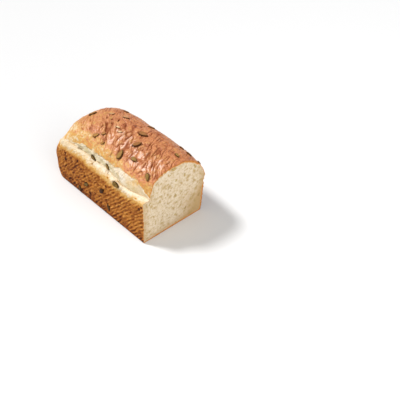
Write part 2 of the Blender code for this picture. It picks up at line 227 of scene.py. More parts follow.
SEEDS_ON_LEFT = (
    (-115.5, 76.0, -22, 10.5, 0.3, 0.15),
    (-85.0, 77.0, -50, 9.5, 0.42, 0.36),
    (-55.5, 69.0, 0, 13.5, 0.25, 0.0),
    (-124.5, 27.5, 35, 12.0, 0.25, 0.15),
    (-88.0, 38.5, 52, 12.0, 0.0, 0.1),
    (-142.5, 9.0, -90, 10.0, 0.1, 0.2),
    (-75.5, 16.0, -75, 11.0, 0.05, 0.3),
)
SEEDS_ON_RIGHT = 9
RIGHT_SEED_HEIGHTS = (14.0, 84.0)
SEEDS_ON_REAR = 4
REAR_SEED_HEIGHTS = (18.0, 84.0)
REAR_SEED_SPREAD = 36.0
RULE_SEED_SUNK = 0.15
LEAST_FACING = 0.15
SEED_LENGTHS = (9.0, 13.0)

# The seed's form, as shares of its length, and the steps of its grid
SEED_WIDTH = 0.5
SEED_THICKNESS = 0.26
SEED_POINT = 0.3
SEED_BEAD = 0.3
SEED_POLE = 0.96
SEED_LIFT = 0.22
SEED_STEPS = 26
SEED_LEVELS = 15

# Seeds that the knife went through: place across the cut from the left wall and up, turn, length and tone
SEEDS_IN_CRUMB = (
    (56.5, 99.5, 5, 9.0, 0.3),
    (49.0, 93.0, -20, 6.0, 0.3),
    (20.0, 87.0, 70, 5.0, 0.4),
    (13.0, 63.0, 60, 7.0, 0.4),
    (60.0, 79.0, 60, 7.0, 0.3),
    (75.0, 80.0, 70, 6.0, 0.3),
    (88.0, 81.0, 120, 5.0, 0.6),
    (93.5, 86.0, 125, 9.5, 0.5),
    (51.0, 36.0, 60, 6.0, 0.3),
    (80.0, 56.0, 20, 5.5, 0.0),
    (33.0, 56.0, 10, 5.0, 0.2),
    (59.0, 53.0, 100, 7.0, 0.5),
    (22.0, 22.0, 10, 5.0, 0.3),
    (44.0, 24.0, 80, 7.0, 0.3),
    (58.0, 18.0, 70, 6.0, 0.0),
    (78.0, 20.0, 80, 6.0, 0.7),
    (103.0, 30.0, 60, 7.0, 0.8),
    (8.0, 52.0, 30, 4.0, 0.6),
)
CUT_SEED_DEPTH = 1.2
CUT_SEED_SUNK = 0.3

# The cut face: how thick the crust shows up to each place round the skin, its pores in layers (size of a
# cell, share of the cells that hold one, depth, shift of the cells, and the noise's seed), and the tear that
# runs in from the groove. A pore's radius is a share of its cell, and its turn is in degrees.
CRUST_THICKNESS = 2.0
CRUMB_RINGS = 112
RIM_SPREAD = 4
RIMS = (
    (ENDS["left_wall"], 1.3),
    (ENDS["groove"] + 20, 0.5),
    (ENDS["left_dome"] + 90, 3.0),
    (ENDS["crease"], 0.7),
    (ENDS["right_corner"], 2.2),
    (ENDS["base"], 2.0),
)
PORE_LAYERS = (
    (12.0, 0.7, 0.9, (0, 0), 30),
    (7.0, 0.5, 0.8, (3, 1), 40),
    (3.6, 0.5, 0.35, (1, 2), 60),
)
PORE_RADIUS = 0.42
PORE_TURN = 55.0
PORE_STRETCH = 1.25
TEAR_PLACE = (15.5 - BASE_HALF_WIDTH, 74.5)
TEAR_SIZE = (7.0, 0.9)
TEAR_SLOPE = 0.25

# The camera, the lights and the plain studio, in metres and degrees
CAMERA_PLACE = (0.649173, -0.496758, 0.690244)
CAMERA_TURN = (48.8745, -1.8309, 46.6580)
CAMERA_LENS = 64.53
SENSOR = 36.0
KEY_PLACE = (-0.85, -0.45, 1.28)
KEY_ANGLE = 14.0
FILL_PLACE = (1.1, -0.2, 0.8)
FILL_SIZE = 1.0
LIGHT_AIM = (0.0, 0.0, 0.05)
FLOOR_SIZE = 6.0
FLOOR_DROP = 0.0002


def linear(red, green, blue):
    """A colour given in display numbers from 0 to 255, as linear light."""
    share = np.array([red, green, blue]) / 255.0
    light = np.where(share <= 0.04045, share / 12.92, ((share + 0.055) / 1.055) ** 2.4)
    return tuple(float(value) for value in light)


def mix(start, end, share):
    """Blend from start to end."""
    return start + (end - start) * share


def ramp(value, start, end):
    """0 at start and before it, 1 at end and after it, and a smooth turn between."""
    t = np.clip((value - start) / (end - start), 0.0, 1.0)
    return t * t * (3 - 2 * t)


def bell(value, middle, width):
    """1 at the middle, falling smoothly on both sides to almost 0 at twice the width."""
    return np.exp(-(((value - middle) / width) ** 2))


def along(knots, t):
    """The size at shares t of the length, with smooth turns between the given pairs."""
    starts, sizes = np.array(knots).T
    before = np.clip(np.searchsorted(starts, t) - 1, 0, len(starts) - 2)
    return mix(sizes[before], sizes[before + 1], ramp(t, starts[before], starts[before + 1]))


def lattice_value(ix, iy, iz, seed):
    """A fixed pseudo-random number from -1 to 1 for each lattice point, by integer hashing."""
    h = (ix * 374761393 + iy * 668265263 + iz * 1440662683 + seed * 974634777) & 0xFFFFFFFF
    h = ((h ^ (h >> 13)) * 1274126177) & 0xFFFFFFFF
    h = ((h ^ (h >> 16)) * 2246822519) & 0xFFFFFFFF
    return ((h ^ (h >> 15)) & 0xFFFFFF) / float(0x7FFFFF) - 1.0


def corner_blend(points):
    """For each of a cell's eight corners: its lattice point, the way there, and its smooth share."""
    corner = np.floor(points).astype(np.int64)
    f = points - corner
    smooth = f * f * f * (f * (f * 6 - 15) + 10)
    for step in np.ndindex(2, 2, 2):
        share = np.prod(np.where(step, smooth, 1 - smooth), axis=-1)
        yield corner + step, f - step, share


def smooth_noise(points, cell, seed):
    """Value noise from -1 to 1: lattice values blended smoothly between the corners of each cell."""
    corners = corner_blend(points / cell)
    return sum(share * lattice_value(*np.moveaxis(place, -1, 0), seed) for place, _, share in corners)


def slope_noise(points, seed):
    """Gradient noise, about -1 to 1: each lattice corner has a pseudo-random slope, and they are blended."""
    total = 0.0
    for place, way, share in corner_blend(points):
        place = np.moveaxis(place, -1, 0)
        rise = sum(lattice_value(*place, seed * 3 + axis) * way[..., axis] for axis in range(3))
        total = total + share * rise
    return total * 1.7


def flat_noise(u, v, seed):
    """Gradient noise over two coordinates."""
    return slope_noise(np.stack([u, v, np.full_like(u, 0.37 + seed)], axis=-1), seed)


def superellipse(power, steps, start=0.0):
    """Points of a unit superellipse quarter to (0, 1), from (1, 0) or from height start, evenly spaced."""
    angle = np.linspace(0.0, math.pi / 2, CURVE_SAMPLES)
    curve = np.stack([np.cos(angle) ** (2 / power), np.sin(angle) ** (2 / power)], axis=1)
    curve = curve[curve[:, 1] >= start]
    length = np.concatenate([[0.0], np.cumsum(np.hypot(*np.diff(curve, axis=0).T))])
    even = np.linspace(0.0, length[-1], steps + 1)
    return np.interp(even, length, curve[:, 0]), np.interp(even, length, curve[:, 1])


def straight(start, end, steps):
    """Evenly spaced points from start to end."""
    return np.linspace(start[0], end[0], steps + 1), np.linspace(start[1], end[1], steps + 1)


def cross_section(t):
    """The outline at share t of the length: a quarter circle at each corner, straight walls, a superellipse
    for the lip and for each side of the dome, and a sine dip for the crease. Each stretch leaves out its last
    point, which the next one starts with."""
    half = BASE_HALF_WIDTH
    radius = BASE_CORNER_RADIUS
    ridge = along(RIDGE_HEIGHTS, t)
    bend = np.linspace(0.0, math.pi / 2, STRETCHES["left_corner"] + 1)
    left_corner = (-half + radius * (1 - np.sin(bend)), radius * (1 - np.cos(bend)))
    wall_top = along(WALL_TOPS, t)
    left_wall = straight((-half, radius), (-half, wall_top), STRETCHES["left_wall"])

    groove = (-half + along(GROOVE_DEPTHS, t), along(GROOVE_HEIGHTS, t))
    crest = (groove[0] - LIP_WIDTH, groove[1] + along(LIP_CRESTS, t))
    across, up = superellipse(along(LIP_POWERS, t), STRETCHES["lip"])
    lip = (crest[0] - (crest[0] + half) * across, wall_top + (crest[1] - wall_top) * up)
    groove_side = straight(crest, groove, STRETCHES["groove"])

    across, up = superellipse(along(LEFT_POWERS, t), STRETCHES["left_dome"])
    left_dome = (groove[0] * across, groove[1] + (ridge - groove[1]) * up)

    rise = ridge - RIGHT_CENTRE
    start = (RIGHT_END - RIGHT_CENTRE) / rise
    across, up = superellipse(along(RIGHT_POWERS, t), STRETCHES["right_dome"], start=start)
    right_dome = (along(RIGHT_SPANS, t) * across[::-1], RIGHT_CENTRE + rise * up[::-1])

    dome_end = (right_dome[0][-1], right_dome[1][-1])
    wall_end = (half + WALL_LEAN_RIGHT * WALL_TOP_RIGHT, WALL_TOP_RIGHT)
    crease_y, crease_z = straight(dome_end, wall_end, STRETCHES["crease"])
    dip = CREASE_DEPTH * np.sin(np.linspace(0, math.pi, STRETCHES["crease"] + 1))
    crease = (crease_y - dip, crease_z)
    right_wall = straight(wall_end, (half + WALL_LEAN_RIGHT * radius, radius), STRETCHES["right_wall"])
    right_corner = (right_wall[0][-1] - radius * (1 - np.cos(bend)), radius * (1 - np.sin(bend)))
    base = straight((right_corner[0][-1], 0.0), (-half + radius, 0.0), STRETCHES["base"])

    left_side = (left_corner, left_wall, lip, groove_side, left_dome)
    right_side = (right_dome, crease, right_wall, right_corner)
    return np.concatenate([np.stack(stretch, axis=1)[:-1] for stretch in (*left_side, *right_side, base)])


def rear_radius(height):
    """The radius over which the rear end is drawn in, at the given height of the outline."""
    low = mix(REAR_RADIUS_BASE, REAR_RADIUS_WALL, ramp(height, 0, REAR_WALL_START))
    return mix(low, REAR_RADIUS_DOME, ramp(height, REAR_DOME_START, REAR_DOME_END))


def straight_rings():
    """Rings of the skin from the cut to where the rear starts to bend."""
    bend_start = LENGTH - REAR_RADIUS_DOME
    columns = round(bend_start / RING_STEP)
    rings = []
    for column in range(columns):
        x = bend_start * column / columns
        outline = cross_section(x / LENGTH)
        rings.append(np.column_stack([np.full(len(outline), -x), outline]))
    return rings


def bend_rings():
    """Rings round the bend into the rear end. Each point goes straight on, then round its own radius."""
    bend_start = LENGTH - REAR_RADIUS_DOME
    rings = []
    for step in range(BEND_STEPS + 1):
        outline = cross_section(mix(bend_start / LENGTH, 1.0, step / BEND_STEPS))
        radius = rear_radius(outline[:, 1])
        rear = LENGTH + REAR_LEAN * np.minimum(outline[:, 1], REAR_LEAN_HEIGHT)
        run = rear - radius - bend_start
        path = (run + radius * math.pi / 2) * step / BEND_STEPS
        angle = np.maximum(path - run, 0.0) / radius
        x = bend_start + np.minimum(path, run) + radius * np.sin(angle)
        inset = radius * (1 - np.cos(angle))
        reach = np.linalg.norm(outline - REAR_CENTRE, axis=1)
        outline = REAR_CENTRE + (outline - REAR_CENTRE) * ((reach - inset) / reach)[:, None]
        rings.append(np.column_stack([-x, outline]))
    return rings


def end_rings(edge):
    """Rings across the rear end, from the edge of the bend to a small circle in the middle."""
    length = np.concatenate([[0.0], np.cumsum(np.linalg.norm(np.diff(edge, axis=0), axis=1))])
    length /= length[-1] + np.linalg.norm(edge[0] - edge[-1])
    start = math.atan2(edge[0, 2] - REAR_CENTRE[1], edge[0, 1] - REAR_CENTRE[0])
    turn = start - 2 * math.pi * length
    middle = np.full_like(edge, edge[:, 0].min() - REAR_BULGE)
    middle[:, 1] = REAR_CENTRE[0] + REAR_MIDDLE * np.cos(turn)
    middle[:, 2] = REAR_CENTRE[1] + REAR_MIDDLE * np.sin(turn)
    return [mix(edge, middle, step / END_STEPS) for step in range(1, END_STEPS + 1)]


def outward(points):
    """Unit normals of a closed grid of rings, pointing out of the loaf."""
    lengthways = np.gradient(points, axis=0)
    around = np.roll(points, -1, axis=1) - np.roll(points, 1, axis=1)
    normal = np.cross(around, lengthways)
    normal[0, :, 0] = 0.0
    return normal / np.maximum(np.linalg.norm(normal, axis=2, keepdims=True), 1e-9)


@functools.cache
def plain_skin():
    """The skin with its lumps, which move points away from the loaf's axis: array (ring, place, xyz)."""
    rings = straight_rings() + bend_rings()
    points = np.array(rings + end_rings(rings[-1]))
    height = points[..., 2]
    lumps = sum(depth * smooth_noise(points, cell, seed) for seed, (cell, depth) in enumerate(LUMPS))
    reach = np.hypot(points[..., 1] - REAR_CENTRE[0], height - REAR_CENTRE[1])
    lumps = lumps * ramp(height, BASE_CORNER_RADIUS, LUMP_FADE) * ramp(reach, REAR_MIDDLE, LUMP_FADE)
    axis = np.zeros_like(points)
    axis[..., 0] = np.maximum(points[..., 0], REAR_RADIUS_DOME - LENGTH)
    axis[..., 1:] = REAR_CENTRE
    away = points - axis
    away /= np.linalg.norm(away, axis=2, keepdims=True)
    return points + away * lumps[..., None]


def nearest(points, normals, axes, place, facing):
    """The skin's point and normal nearest to a place on two axes, among those that face the given way."""
    gap = np.hypot(points[..., axes[0]] - place[0], points[..., axes[1]] - place[1])
    gap = np.where(normals @ np.array(facing) > LEAST_FACING, gap, np.inf)
    found = np.unravel_index(np.argmin(gap), gap.shape)
    return points[found], normals[found]


@functools.cache
def crust_seeds():
    """For each seed on the crust: its place, normal, heading, side, length, tone and sunk share."""
    points = plain_skin()
    normals = outward(points)
    wanted = []
    for x, y, turn, length, tone, sunk in SEEDS_ON_DOME:
        turn = math.radians(turn)
        wanted.append(((0, 1), (x, y), (0, 0, 1), (math.cos(turn), math.sin(turn), 0), length, tone, sunk))
    for x, z, turn, length, tone, sunk in SEEDS_ON_LEFT:
        turn = math.radians(turn)
        wanted.append(((0, 2), (x, z), (0, -1, 0), (math.cos(turn), 0, math.sin(turn)), length, tone, sunk))
    draw = np.random.default_rng(5)
    golden_share = (math.sqrt(5) - 1) / 2
    for k in range(SEEDS_ON_RIGHT):
        place = (-LENGTH * (k + 0.7) / (SEEDS_ON_RIGHT + 1), mix(*RIGHT_SEED_HEIGHTS, k * golden_share % 1))
        turn = draw.uniform(0, math.pi)
        heading = (math.cos(turn), 0, math.sin(turn))
        kernel = (draw.uniform(*SEED_LENGTHS), draw.uniform(), RULE_SEED_SUNK)
        wanted.append(((0, 2), place, (0, 1, 0), heading, *kernel))
    for k in range(SEEDS_ON_REAR):
        across = mix(-REAR_SEED_SPREAD, REAR_SEED_SPREAD, k * golden_share % 1)
        place = (across, mix(*REAR_SEED_HEIGHTS, (k + 0.5) / SEEDS_ON_REAR))
        turn = draw.uniform(0, math.pi)
        heading = (0, math.cos(turn), math.sin(turn))
        kernel = (draw.uniform(*SEED_LENGTHS), draw.uniform(), RULE_SEED_SUNK)
        wanted.append(((1, 2), place, (-1, 0, 0), heading, *kernel))
    seeds = []
    for axes, place, facing, heading, length, tone, sunk in wanted:
        spot, normal = nearest(points, normals, axes, place, facing)
        side = np.cross(normal, heading)
        side /= np.linalg.norm(side)
        seeds.append((spot, normal, np.cross(side, normal), side, length, tone, sunk))
    return seeds


def surface_map(points):
    """For each point of the skin: the way along the skin from the cut, and round it from the groove."""
    lengthways = np.zeros(points.shape[:2])
    lengthways[1:] = np.cumsum(np.linalg.norm(np.diff(points, axis=0), axis=2), axis=0)
    around = np.zeros(points.shape[:2])
    around[:, 1:] = np.cumsum(np.linalg.norm(np.diff(points, axis=1), axis=2), axis=1)
    return lengthways, around - around[:, ENDS["groove"], None]


@functools.cache
def skin_map():
    """What the relief and the colours go by, for each point of the skin: the ways along and round it, the
    height, a ragged noise for edges, how far it lies above the top of the dough, and a mask for each zone."""
    plain = plain_skin()
    lengthways, around = surface_map(plain)
    ring, place = np.indices(plain.shape[:2])
    height = plain[..., 2]
    bent = ring - (plain.shape[0] - END_STEPS)
    ragged = 2.0 * flat_noise(lengthways / 9, around / 9, 1) + 1.2 * flat_noise(lengthways / 3, around / 3, 2)
    rear = ramp(bent, -0.45 * BEND_STEPS, -0.1 * BEND_STEPS) * (1 - ramp(height, 52, 78))
    top = (place >= ENDS["groove"]) & (place < ENDS["right_dome"])
    share = np.clip(-plain[..., 0] / LENGTH, 0.0, 1.0)
    above = around - along(DOUGH_TOPS, share) + ragged
    edge = ramp(above, -0.8, 1.0)
    return types.SimpleNamespace(
        plain=plain,
        lengthways=lengthways,
        around=around,
        height=height,
        share=share,
        ragged=ragged,
        above=above,
        rear=rear,
        top=top.astype(float),
        wall=(place < ENDS["left_wall"]).astype(float),
        lip=((place >= ENDS["left_wall"]) & (place < ENDS["groove"])).astype(float),
        right=((place >= ENDS["right_dome"]) & (place < ENDS["right_corner"])).astype(float),
        base=(place >= ENDS["right_corner"]).astype(float),
        crusted=np.where(place < ENDS["groove"], 0.0, np.where(place < ENDS["left_dome"], edge, 1.0)),
    )


def strokes(skin, marks):
    """Soft ellipses on the skin, with ragged edges, added up by their strengths."""
    total = np.zeros_like(skin.around)
    for run, climb, length, width, turn, strength in marks:
        turn = math.radians(turn)
        du, dv = skin.lengthways - run, skin.around - climb
        long = (math.cos(turn) * du + math.sin(turn) * dv) / length
        wide = (math.cos(turn) * dv - math.sin(turn) * du) / width
        total += strength * (1 - ramp(2 * np.hypot(long, wide) + 0.12 * skin.ragged, 0.4, 1.4))
    return total


def folds(u, v, width, seed):
    """Folds of a shrunken crust: rounded ridges between creases, which follow the lines where gradient noise
    is 0. Gives the height from about -1.4 to 0 and how deep in a crease a point is, from 0 to 1."""
    bend = flat_noise(u * 0.3, v * 0.3, seed + 50)
    fold = np.abs(flat_noise(u + 0.6 * bend, v, seed))
    crease = np.exp(-((fold / width) ** 1.3))
    return -crease - 0.5 * np.exp(-fold / (2.2 * width)), crease


def dome_relief(skin, wrinkle_depth, blister_depth):
    """Folds that run over the dome, with blisters between them. Gives the relief, the creases (where shade is
    painted), a pale film painted on the crests of the folds as a highlight, and the blisters by themselves."""
    run, climb = skin.lengthways, skin.around
    across = run - along(FOLD_LEANS, skin.share) * (climb - 45) + 2.5 * flat_noise(run / 14, climb / 12, 50)
    zone = mix(0.25 * skin.crusted, 1.0, ramp(climb + skin.ragged, 24, 36)) * skin.top * (1 - skin.rear)
    zone = zone * mix(1.0, 0.55, ramp(climb, 74, 100)) * mix(1.0, 0.3, ramp(climb, 105, 130))
    zone = zone * mix(1.0, 0.6, ramp(run, 105, 150))
    vary = 0.4 + 0.7 * ramp(flat_noise(run / 15, climb / 22, 5), -0.5, 0.5)
    big, crease = folds(across / 6.2, climb / 15, 0.11, 3)
    small, fine_crease = folds(across / 3.3, climb / 6.5, 0.11, 4)
    placed = strokes(skin, FOLDS)
    quiet = 1 - np.clip(placed, 0, 1)
    relief = wrinkle_depth * (zone * (vary * big + 0.4 * small) * quiet - 1.5 * placed)
    blisters = slope_noise(skin.plain / 6.0, 7) + 0.8 * slope_noise(skin.plain / 2.6, 8)
    coarse = 1 + 1.2 * bell(climb, 24, 10)
    relief += blister_depth * skin.top * skin.crusted * coarse * blisters
    # The creases: where shade is painted darker into the crust's colour, in the folds and the placed folds.
    creases = np.clip(zone * (vary * crease + 0.35 * fine_crease) * quiet + placed, 0, 1)
    # Painted highlight: a pale pinkish film on the crests of the folds on the front of the dome, kept out of
    # the creases.
    film_and_highlight = ramp(climb + skin.ragged, 32, 38) * (1 - ramp(climb, 58, 72)) * skin.top
    film_and_highlight = film_and_highlight * ramp(run, 1.5, 7) * (1 - ramp(run, 100, 135))
    film_and_highlight = film_and_highlight * ramp(big + 0.4 * small, -0.6, -0.05)
    film_and_highlight = film_and_highlight * ramp(flat_noise(across / 8, climb / 14, 6), -0.6, 0.1)
    film_and_highlight = np.clip(1.3 * film_and_highlight, 0, 1) * (1 - creases)
    return types.SimpleNamespace(relief=relief, creases=creases, film_and_highlight=film_and_highlight, blisters=blisters)


def wall_relief(skin, rib_height, blister_depth):
    """Slanting ribs that the tin left on the walls, finer towards the rear, and small blisters. Gives the
    relief, and the ribs and blisters by themselves."""
    run, height = skin.lengthways, skin.height
    walls = (skin.wall * (1 - ramp(height, 56, 66)) + skin.right) * ramp(height, 1.0, 5.0) * (1 - skin.rear)
    over, up = run + height, run - height
    warp = 1.3 * flat_noise(over / 22, up / 16, 9) + 1.1 * flat_noise(over / 7, up / 9, 10)
    turn = 2 * math.pi * over / RIB_PITCH
    ribs = np.cos(turn + warp) + 0.3 * np.cos(2 * turn + 2 * warp + 0.8)
    fine_ribs = 1.5 * flat_noise(over / 3.6, up / 9, 23)
    front = 1 - ramp(run, 60, 120)
    patchy = 0.2 + ramp(flat_noise(over / 8, up / 9, 11), -0.4, 0.4)
    ribs = walls * (mix(0.4, 0.9, front) * ribs * patchy + mix(0.9, 0.45, front) * fine_ribs)
    blisters = 0.7 * slope_noise(skin.plain / 3.6, 12) + 0.6 * slope_noise(skin.plain / 1.8, 13)
    blisters = blisters * np.clip(skin.wall + skin.right + skin.rear, 0, 1) * ramp(height, 0.8, 5.0)
    relief = 0.5 * rib_height * ribs + blister_depth * blisters
    return types.SimpleNamespace(relief=relief, ribs=ribs, blisters=blisters)


def burst_relief(skin, tear_depth):
    """Torn strands of dough in the burst, with ragged flaps of crust over them and a toothed lip below. Gives
    the relief, the dips between strands where shade is painted, the torn zone, the cracks and the flaps."""
    run, climb = skin.lengthways, skin.around
    level = np.zeros_like(climb)
    torn = (skin.lip + skin.top) * (1 - skin.crusted) * ramp(climb, -13, -8)
    slant = mix(-0.5, 0.5, ramp(run, 20, 70))
    ahead, aside = run - slant * climb, climb + slant * run
    layers, dip_shade = folds(ahead / 15, aside / 6, 0.14, 14)
    strands = flat_noise(ahead / 12, aside / 2.6, 15)
    calm = mix(0.25, 1.0, ramp(run, 25, 65))
    relief = torn * (calm * (0.3 * layers + 0.6 * strands) + 0.8 * flat_noise(run / 9, climb / 6, 16))
    line = 0.4 + 1.4 * flat_noise(run / 14, level, 17)
    broken = ramp(flat_noise(run / 18, level, 18), -0.2, 0.3) * ramp(run, 30, 60) * (1 - ramp(run, 150, 175))
    crack = bell(climb, line, 0.8) * (skin.lip + skin.top) * broken
    lifted = ramp(flat_noise(run / 11, climb / 11, 28), -0.25, 0.15)
    lifted = lifted * ramp(run, 8, 20) * (1 - ramp(run, 130, 150))
    crack = np.maximum(crack, 0.5 * lifted * bell(skin.above, -1.0, 0.9) * skin.top)
    flaps = bell(skin.above, -1.5, 2.0) * skin.top * ramp(flat_noise(run / 5, climb / 9, 21), -0.2, 0.3)
    step = (skin.crusted - 1) * skin.top * ramp(climb, 0, 6)
    teeth = bell(climb, -4.5, 4.0) * flat_noise(run / 3.4 + climb / 6, climb / 7, 22) * skin.lip
    relief = tear_depth * (relief - 1.6 * crack + 0.9 * flaps + 0.4 * step + 1.3 * teeth)
    return types.SimpleNamespace(relief=relief, dip_shade=torn * calm * dip_shade, torn=torn, crack=crack, flaps=flaps)


def seed_dents(skin):
    """Where seeds have pressed the crust in and it has risen round them. Gives the relief and the painted
    shade round each seed.
    """
    relief, seed_shade = np.zeros_like(skin.around), np.zeros_like(skin.around)
    for spot, _, forward, sideways, length, _, _ in crust_seeds():
        way = skin.plain - spot
        ahead, aside = way @ forward / (length / 2), way @ sideways / (length * SEED_WIDTH / 2)
        reach = np.sqrt(ahead**2 + aside**2 + (np.linalg.norm(way, axis=2) > length) * 9)
        relief += 0.45 * bell(reach, 1.35, 0.25) - 0.5 * bell(reach, 1.0, 0.12)
        seed_shade += bell(reach, 1.05, 0.18)
    return relief, seed_shade


def wall_baking(skin, mottle):
    """How far the left wall has baked: brown, darker low down and at the rear, and fading to dough towards
    the lip in brushed strokes."""
    run, climb = skin.lengthways, skin.around
    brushed = flat_noise((run + climb) / 2.6, (run - climb) / 9, 24)
    brushed = brushed + 0.6 * flat_noise(run / 2.2, climb / 3, 25)
    low = 1 - ramp(skin.height, 1, 22)
    brown = 0.7 + 0.16 * low + 0.04 * mottle + 0.05 * ramp(run, 100, 150)
    return mix(brown, 0.04, np.clip((climb + 1.2 * skin.ragged + 2.6 * brushed + 21.2) / 16.5, 0, 1))


def dough_baking(skin, mottle, flaps):
    """How far the dough of the burst has baked: palest in the lip, more above the groove and at the rear."""
    run, climb = skin.lengthways, skin.around
    pale = 0.04 + 0.1 * ramp(run, 110, 165)
    bake = 0.1 + 0.12 * mottle + 0.16 * ramp(run, 150, 185) + 0.1 * bell(run, 20, 22) * ramp(climb, 4, 16)
    # Painted highlight: the flaps of crust over the burst are made paler along their torn edges.
    return np.where(climb < -1.5, pale, mix(pale, bake, ramp(climb, -1, 3))) - 0.2 * flaps


def dome_baking(skin, mottle, blisters):
    """How far the dome has baked: golden above the burst, brown from there on, paler low on the right."""
    run, climb = skin.lengthways, skin.around
    golden = 0.38 + 0.1 * mottle + 0.16 * flat_noise(run / 4, climb / 3.5, 26) + 0.12 * bell(run, 15, 36)
    golden = golden + 0.14 * bell(climb, 29, 6) * bell(run, 30, 40)
    brown = 0.6 + 0.06 * ramp(climb, 66, 84)
    bake = mix(golden, brown, ramp(climb + 1.3 * skin.ragged, 25, 37)) + 0.06 * mottle + 0.07 * blisters
    pale = bell(skin.height, 66, 13) * (climb > 60) * mix(1.0, 0.5, ramp(run, 40, 120))
    bake = bake - 0.3 * pale - 0.08 * ramp(run, 140, 175) * (1 - ramp(climb, 50, 80))
    return bake - 0.1 * bell(climb, 16, 10) * (1 - ramp(run, 8, 20))


def baking(skin, mottle, dome, wall, burst):
    """How far each place has baked: 0 is pale dough, 1 the darkest crust. The crests of the tin's ribs are
    painted paler and their hollows darker, as painted highlight and shade; some streaks on the walls are
    paler, and the edge of the dome at the cut is darker."""
    run, climb, height = skin.lengthways, skin.around, skin.height
    on_wall = wall_baking(skin, mottle)
    on_dough = dough_baking(skin, mottle, burst.flaps)
    on_dome = dome_baking(skin, mottle, dome.blisters)
    on_right = mix(0.76, 0.42, ramp(height, 44, 58)) + 0.05 * mottle
    bake = np.select(
        [skin.wall > 0, skin.lip > 0, skin.top > 0],
        [on_wall, np.maximum(on_wall, on_dough), mix(on_dough, on_dome, skin.crusted)],
        on_right,
    )
    bake = mix(bake, mix(0.72, 0.45, ramp(height, 50, 72)), skin.rear)
    streaks = (skin.wall + skin.right) * flat_noise((run + height) / 2.8, (run - height) / 10, 27)
    # Painted highlight and shade: the tin's rib crests are paler and their hollows darker.
    bake = bake - 0.12 * wall.ribs - 0.03 * wall.blisters - 0.14 * streaks
    return bake + 0.1 * (1 - ramp(run, 0, 4)) * skin.top * ramp(climb, 30, 40)


@functools.cache
def crust_skin(wrinkle_depth, rib_height, blister_depth, tear_depth):
    """The finished skin: points, normals, and the fields that its material reads.

    Relief is added along the normals of the plain skin: folds on the dome, ribs of the tin and blisters on
    the walls, torn strands in the burst, and a dent and a rim round each seed."""
    skin = skin_map()
    dome = dome_relief(skin, wrinkle_depth, blister_depth)
    wall = wall_relief(skin, rib_height, blister_depth)
    burst = burst_relief(skin, tear_depth)
    dents, seed_shade = seed_dents(skin)
    under = 0.15 * blister_depth * slope_noise(skin.plain / 3.0, 19) * (skin.height > 0.1)
    relief = mix(dome.relief + wall.relief + burst.relief + dents, under, skin.base)
    points = skin.plain + outward(skin.plain) * relief[..., None]
    points[..., 2] = np.maximum(points[..., 2], 0.0)

    run, climb = skin.lengthways, skin.around
    mottle = flat_noise(run / 8, climb / 8, 20)
    # The seed shade darkens the crust round each seed: painted shade.
    bake = baking(skin, mottle, dome, wall, burst) + 0.1 * seed_shade + strokes(skin, PATCHES)
    # Painted shade: a greenish grey deep in the groove of the burst, with its cracks added below.
    deep = burst.torn * bell(climb, 5.5, 4.5) * mix(0.35, 1.0, ramp(run, 45, 80)) * (1 - ramp(run, 140, 168))
    tin = skin.wall + skin.lip * (1 - ramp(climb, -9, -4)) + skin.right + skin.base + skin.rear
    fields = {
        "bake": np.clip(bake, 0, 1),
        # The crease field paints shade into the creases, the cracks, the dips between strands and round the
        # seeds.
        "crease": np.clip(dome.creases + 0.7 * burst.crack + 0.12 * burst.dip_shade + 0.4 * seed_shade, 0, 1),
        "tin": np.clip(tin, 0, 1),
        "deep": np.clip(deep * (0.9 + 0.5 * mottle) + 0.7 * burst.crack, 0, 1),
        "film_and_highlight": dome.film_and_highlight,
    }
    return points, outward(points), fields


def grid_faces(rows, columns, closed=False):
    """Two triangles for each cell of a grid that is numbered row by row. A closed grid joins its last column
    to its first."""
    row, column = np.indices((rows - 1, columns if closed else columns - 1))
    after = (column + 1) % columns
    a, b = row * columns + column, row * columns + after
    c, d = a + columns, b + columns
    halves = np.stack([np.stack([a, b, d], axis=-1), np.stack([a, d, c], axis=-1)])
    return halves.reshape(-1, 3)


def fan_faces(columns, start, pole):
    """Triangles from a ring of that many points, the first numbered start, to one pole."""
    column = np.arange(columns)
    return np.stack([start + column, start + (column + 1) % columns, np.full(columns, pole)], axis=1)


def make_piece(name, points, faces, material, fields=(), normals=None):
    """A piece of the loaf from points in drawing millimetres. It rides on the loaf and replaces its solid."""
    place = (points + np.array([CUT_PLACE, DRAWING_MIDDLE, 0.0])) * MM
    data = bpy.data.meshes.new(name)
    data.from_pydata(place.reshape(-1, 3), [], faces)
    for field, values in dict(fields).items():
        attribute = data.attributes.new(field, "FLOAT", "POINT")
        attribute.data.foreach_set("value", np.ascontiguousarray(values, dtype=np.float32).ravel())
    data.materials.append(material)
    data.shade_smooth()
    if normals is not None:
        data.normals_split_custom_set_from_vertices(normals.reshape(-1, 3))
    piece = bpy.data.objects.new(name, data)
    bpy.context.scene.collection.objects.link(piece)
    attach(piece, "root")
    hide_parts("loaf")


def skin_piece(context, name, first, last, material):
    """A piece from the stretch of the skin between two places of its rings, both included."""
    points, normals, fields = finished_skin(context)
    rings = np.arange(points.shape[0] - END_STEPS)
    window = np.ix_(rings, np.arange(first, last + 1) % points.shape[1])
    chosen = {field: values[window] for field, values in fields.items()}
    faces = grid_faces(*points[window].shape[:2])
    make_piece(name, points[window], faces, material, chosen, normals[window])


def finished_skin(context):
    """The skin at the sizes that are set in the panel."""
    sizes = context.scene.loaf_sizes
    return crust_skin(
        sizes.wrinkle_depth / MM, sizes.rib_height / MM, sizes.blister_depth / MM, sizes.tear_depth / MM
    )


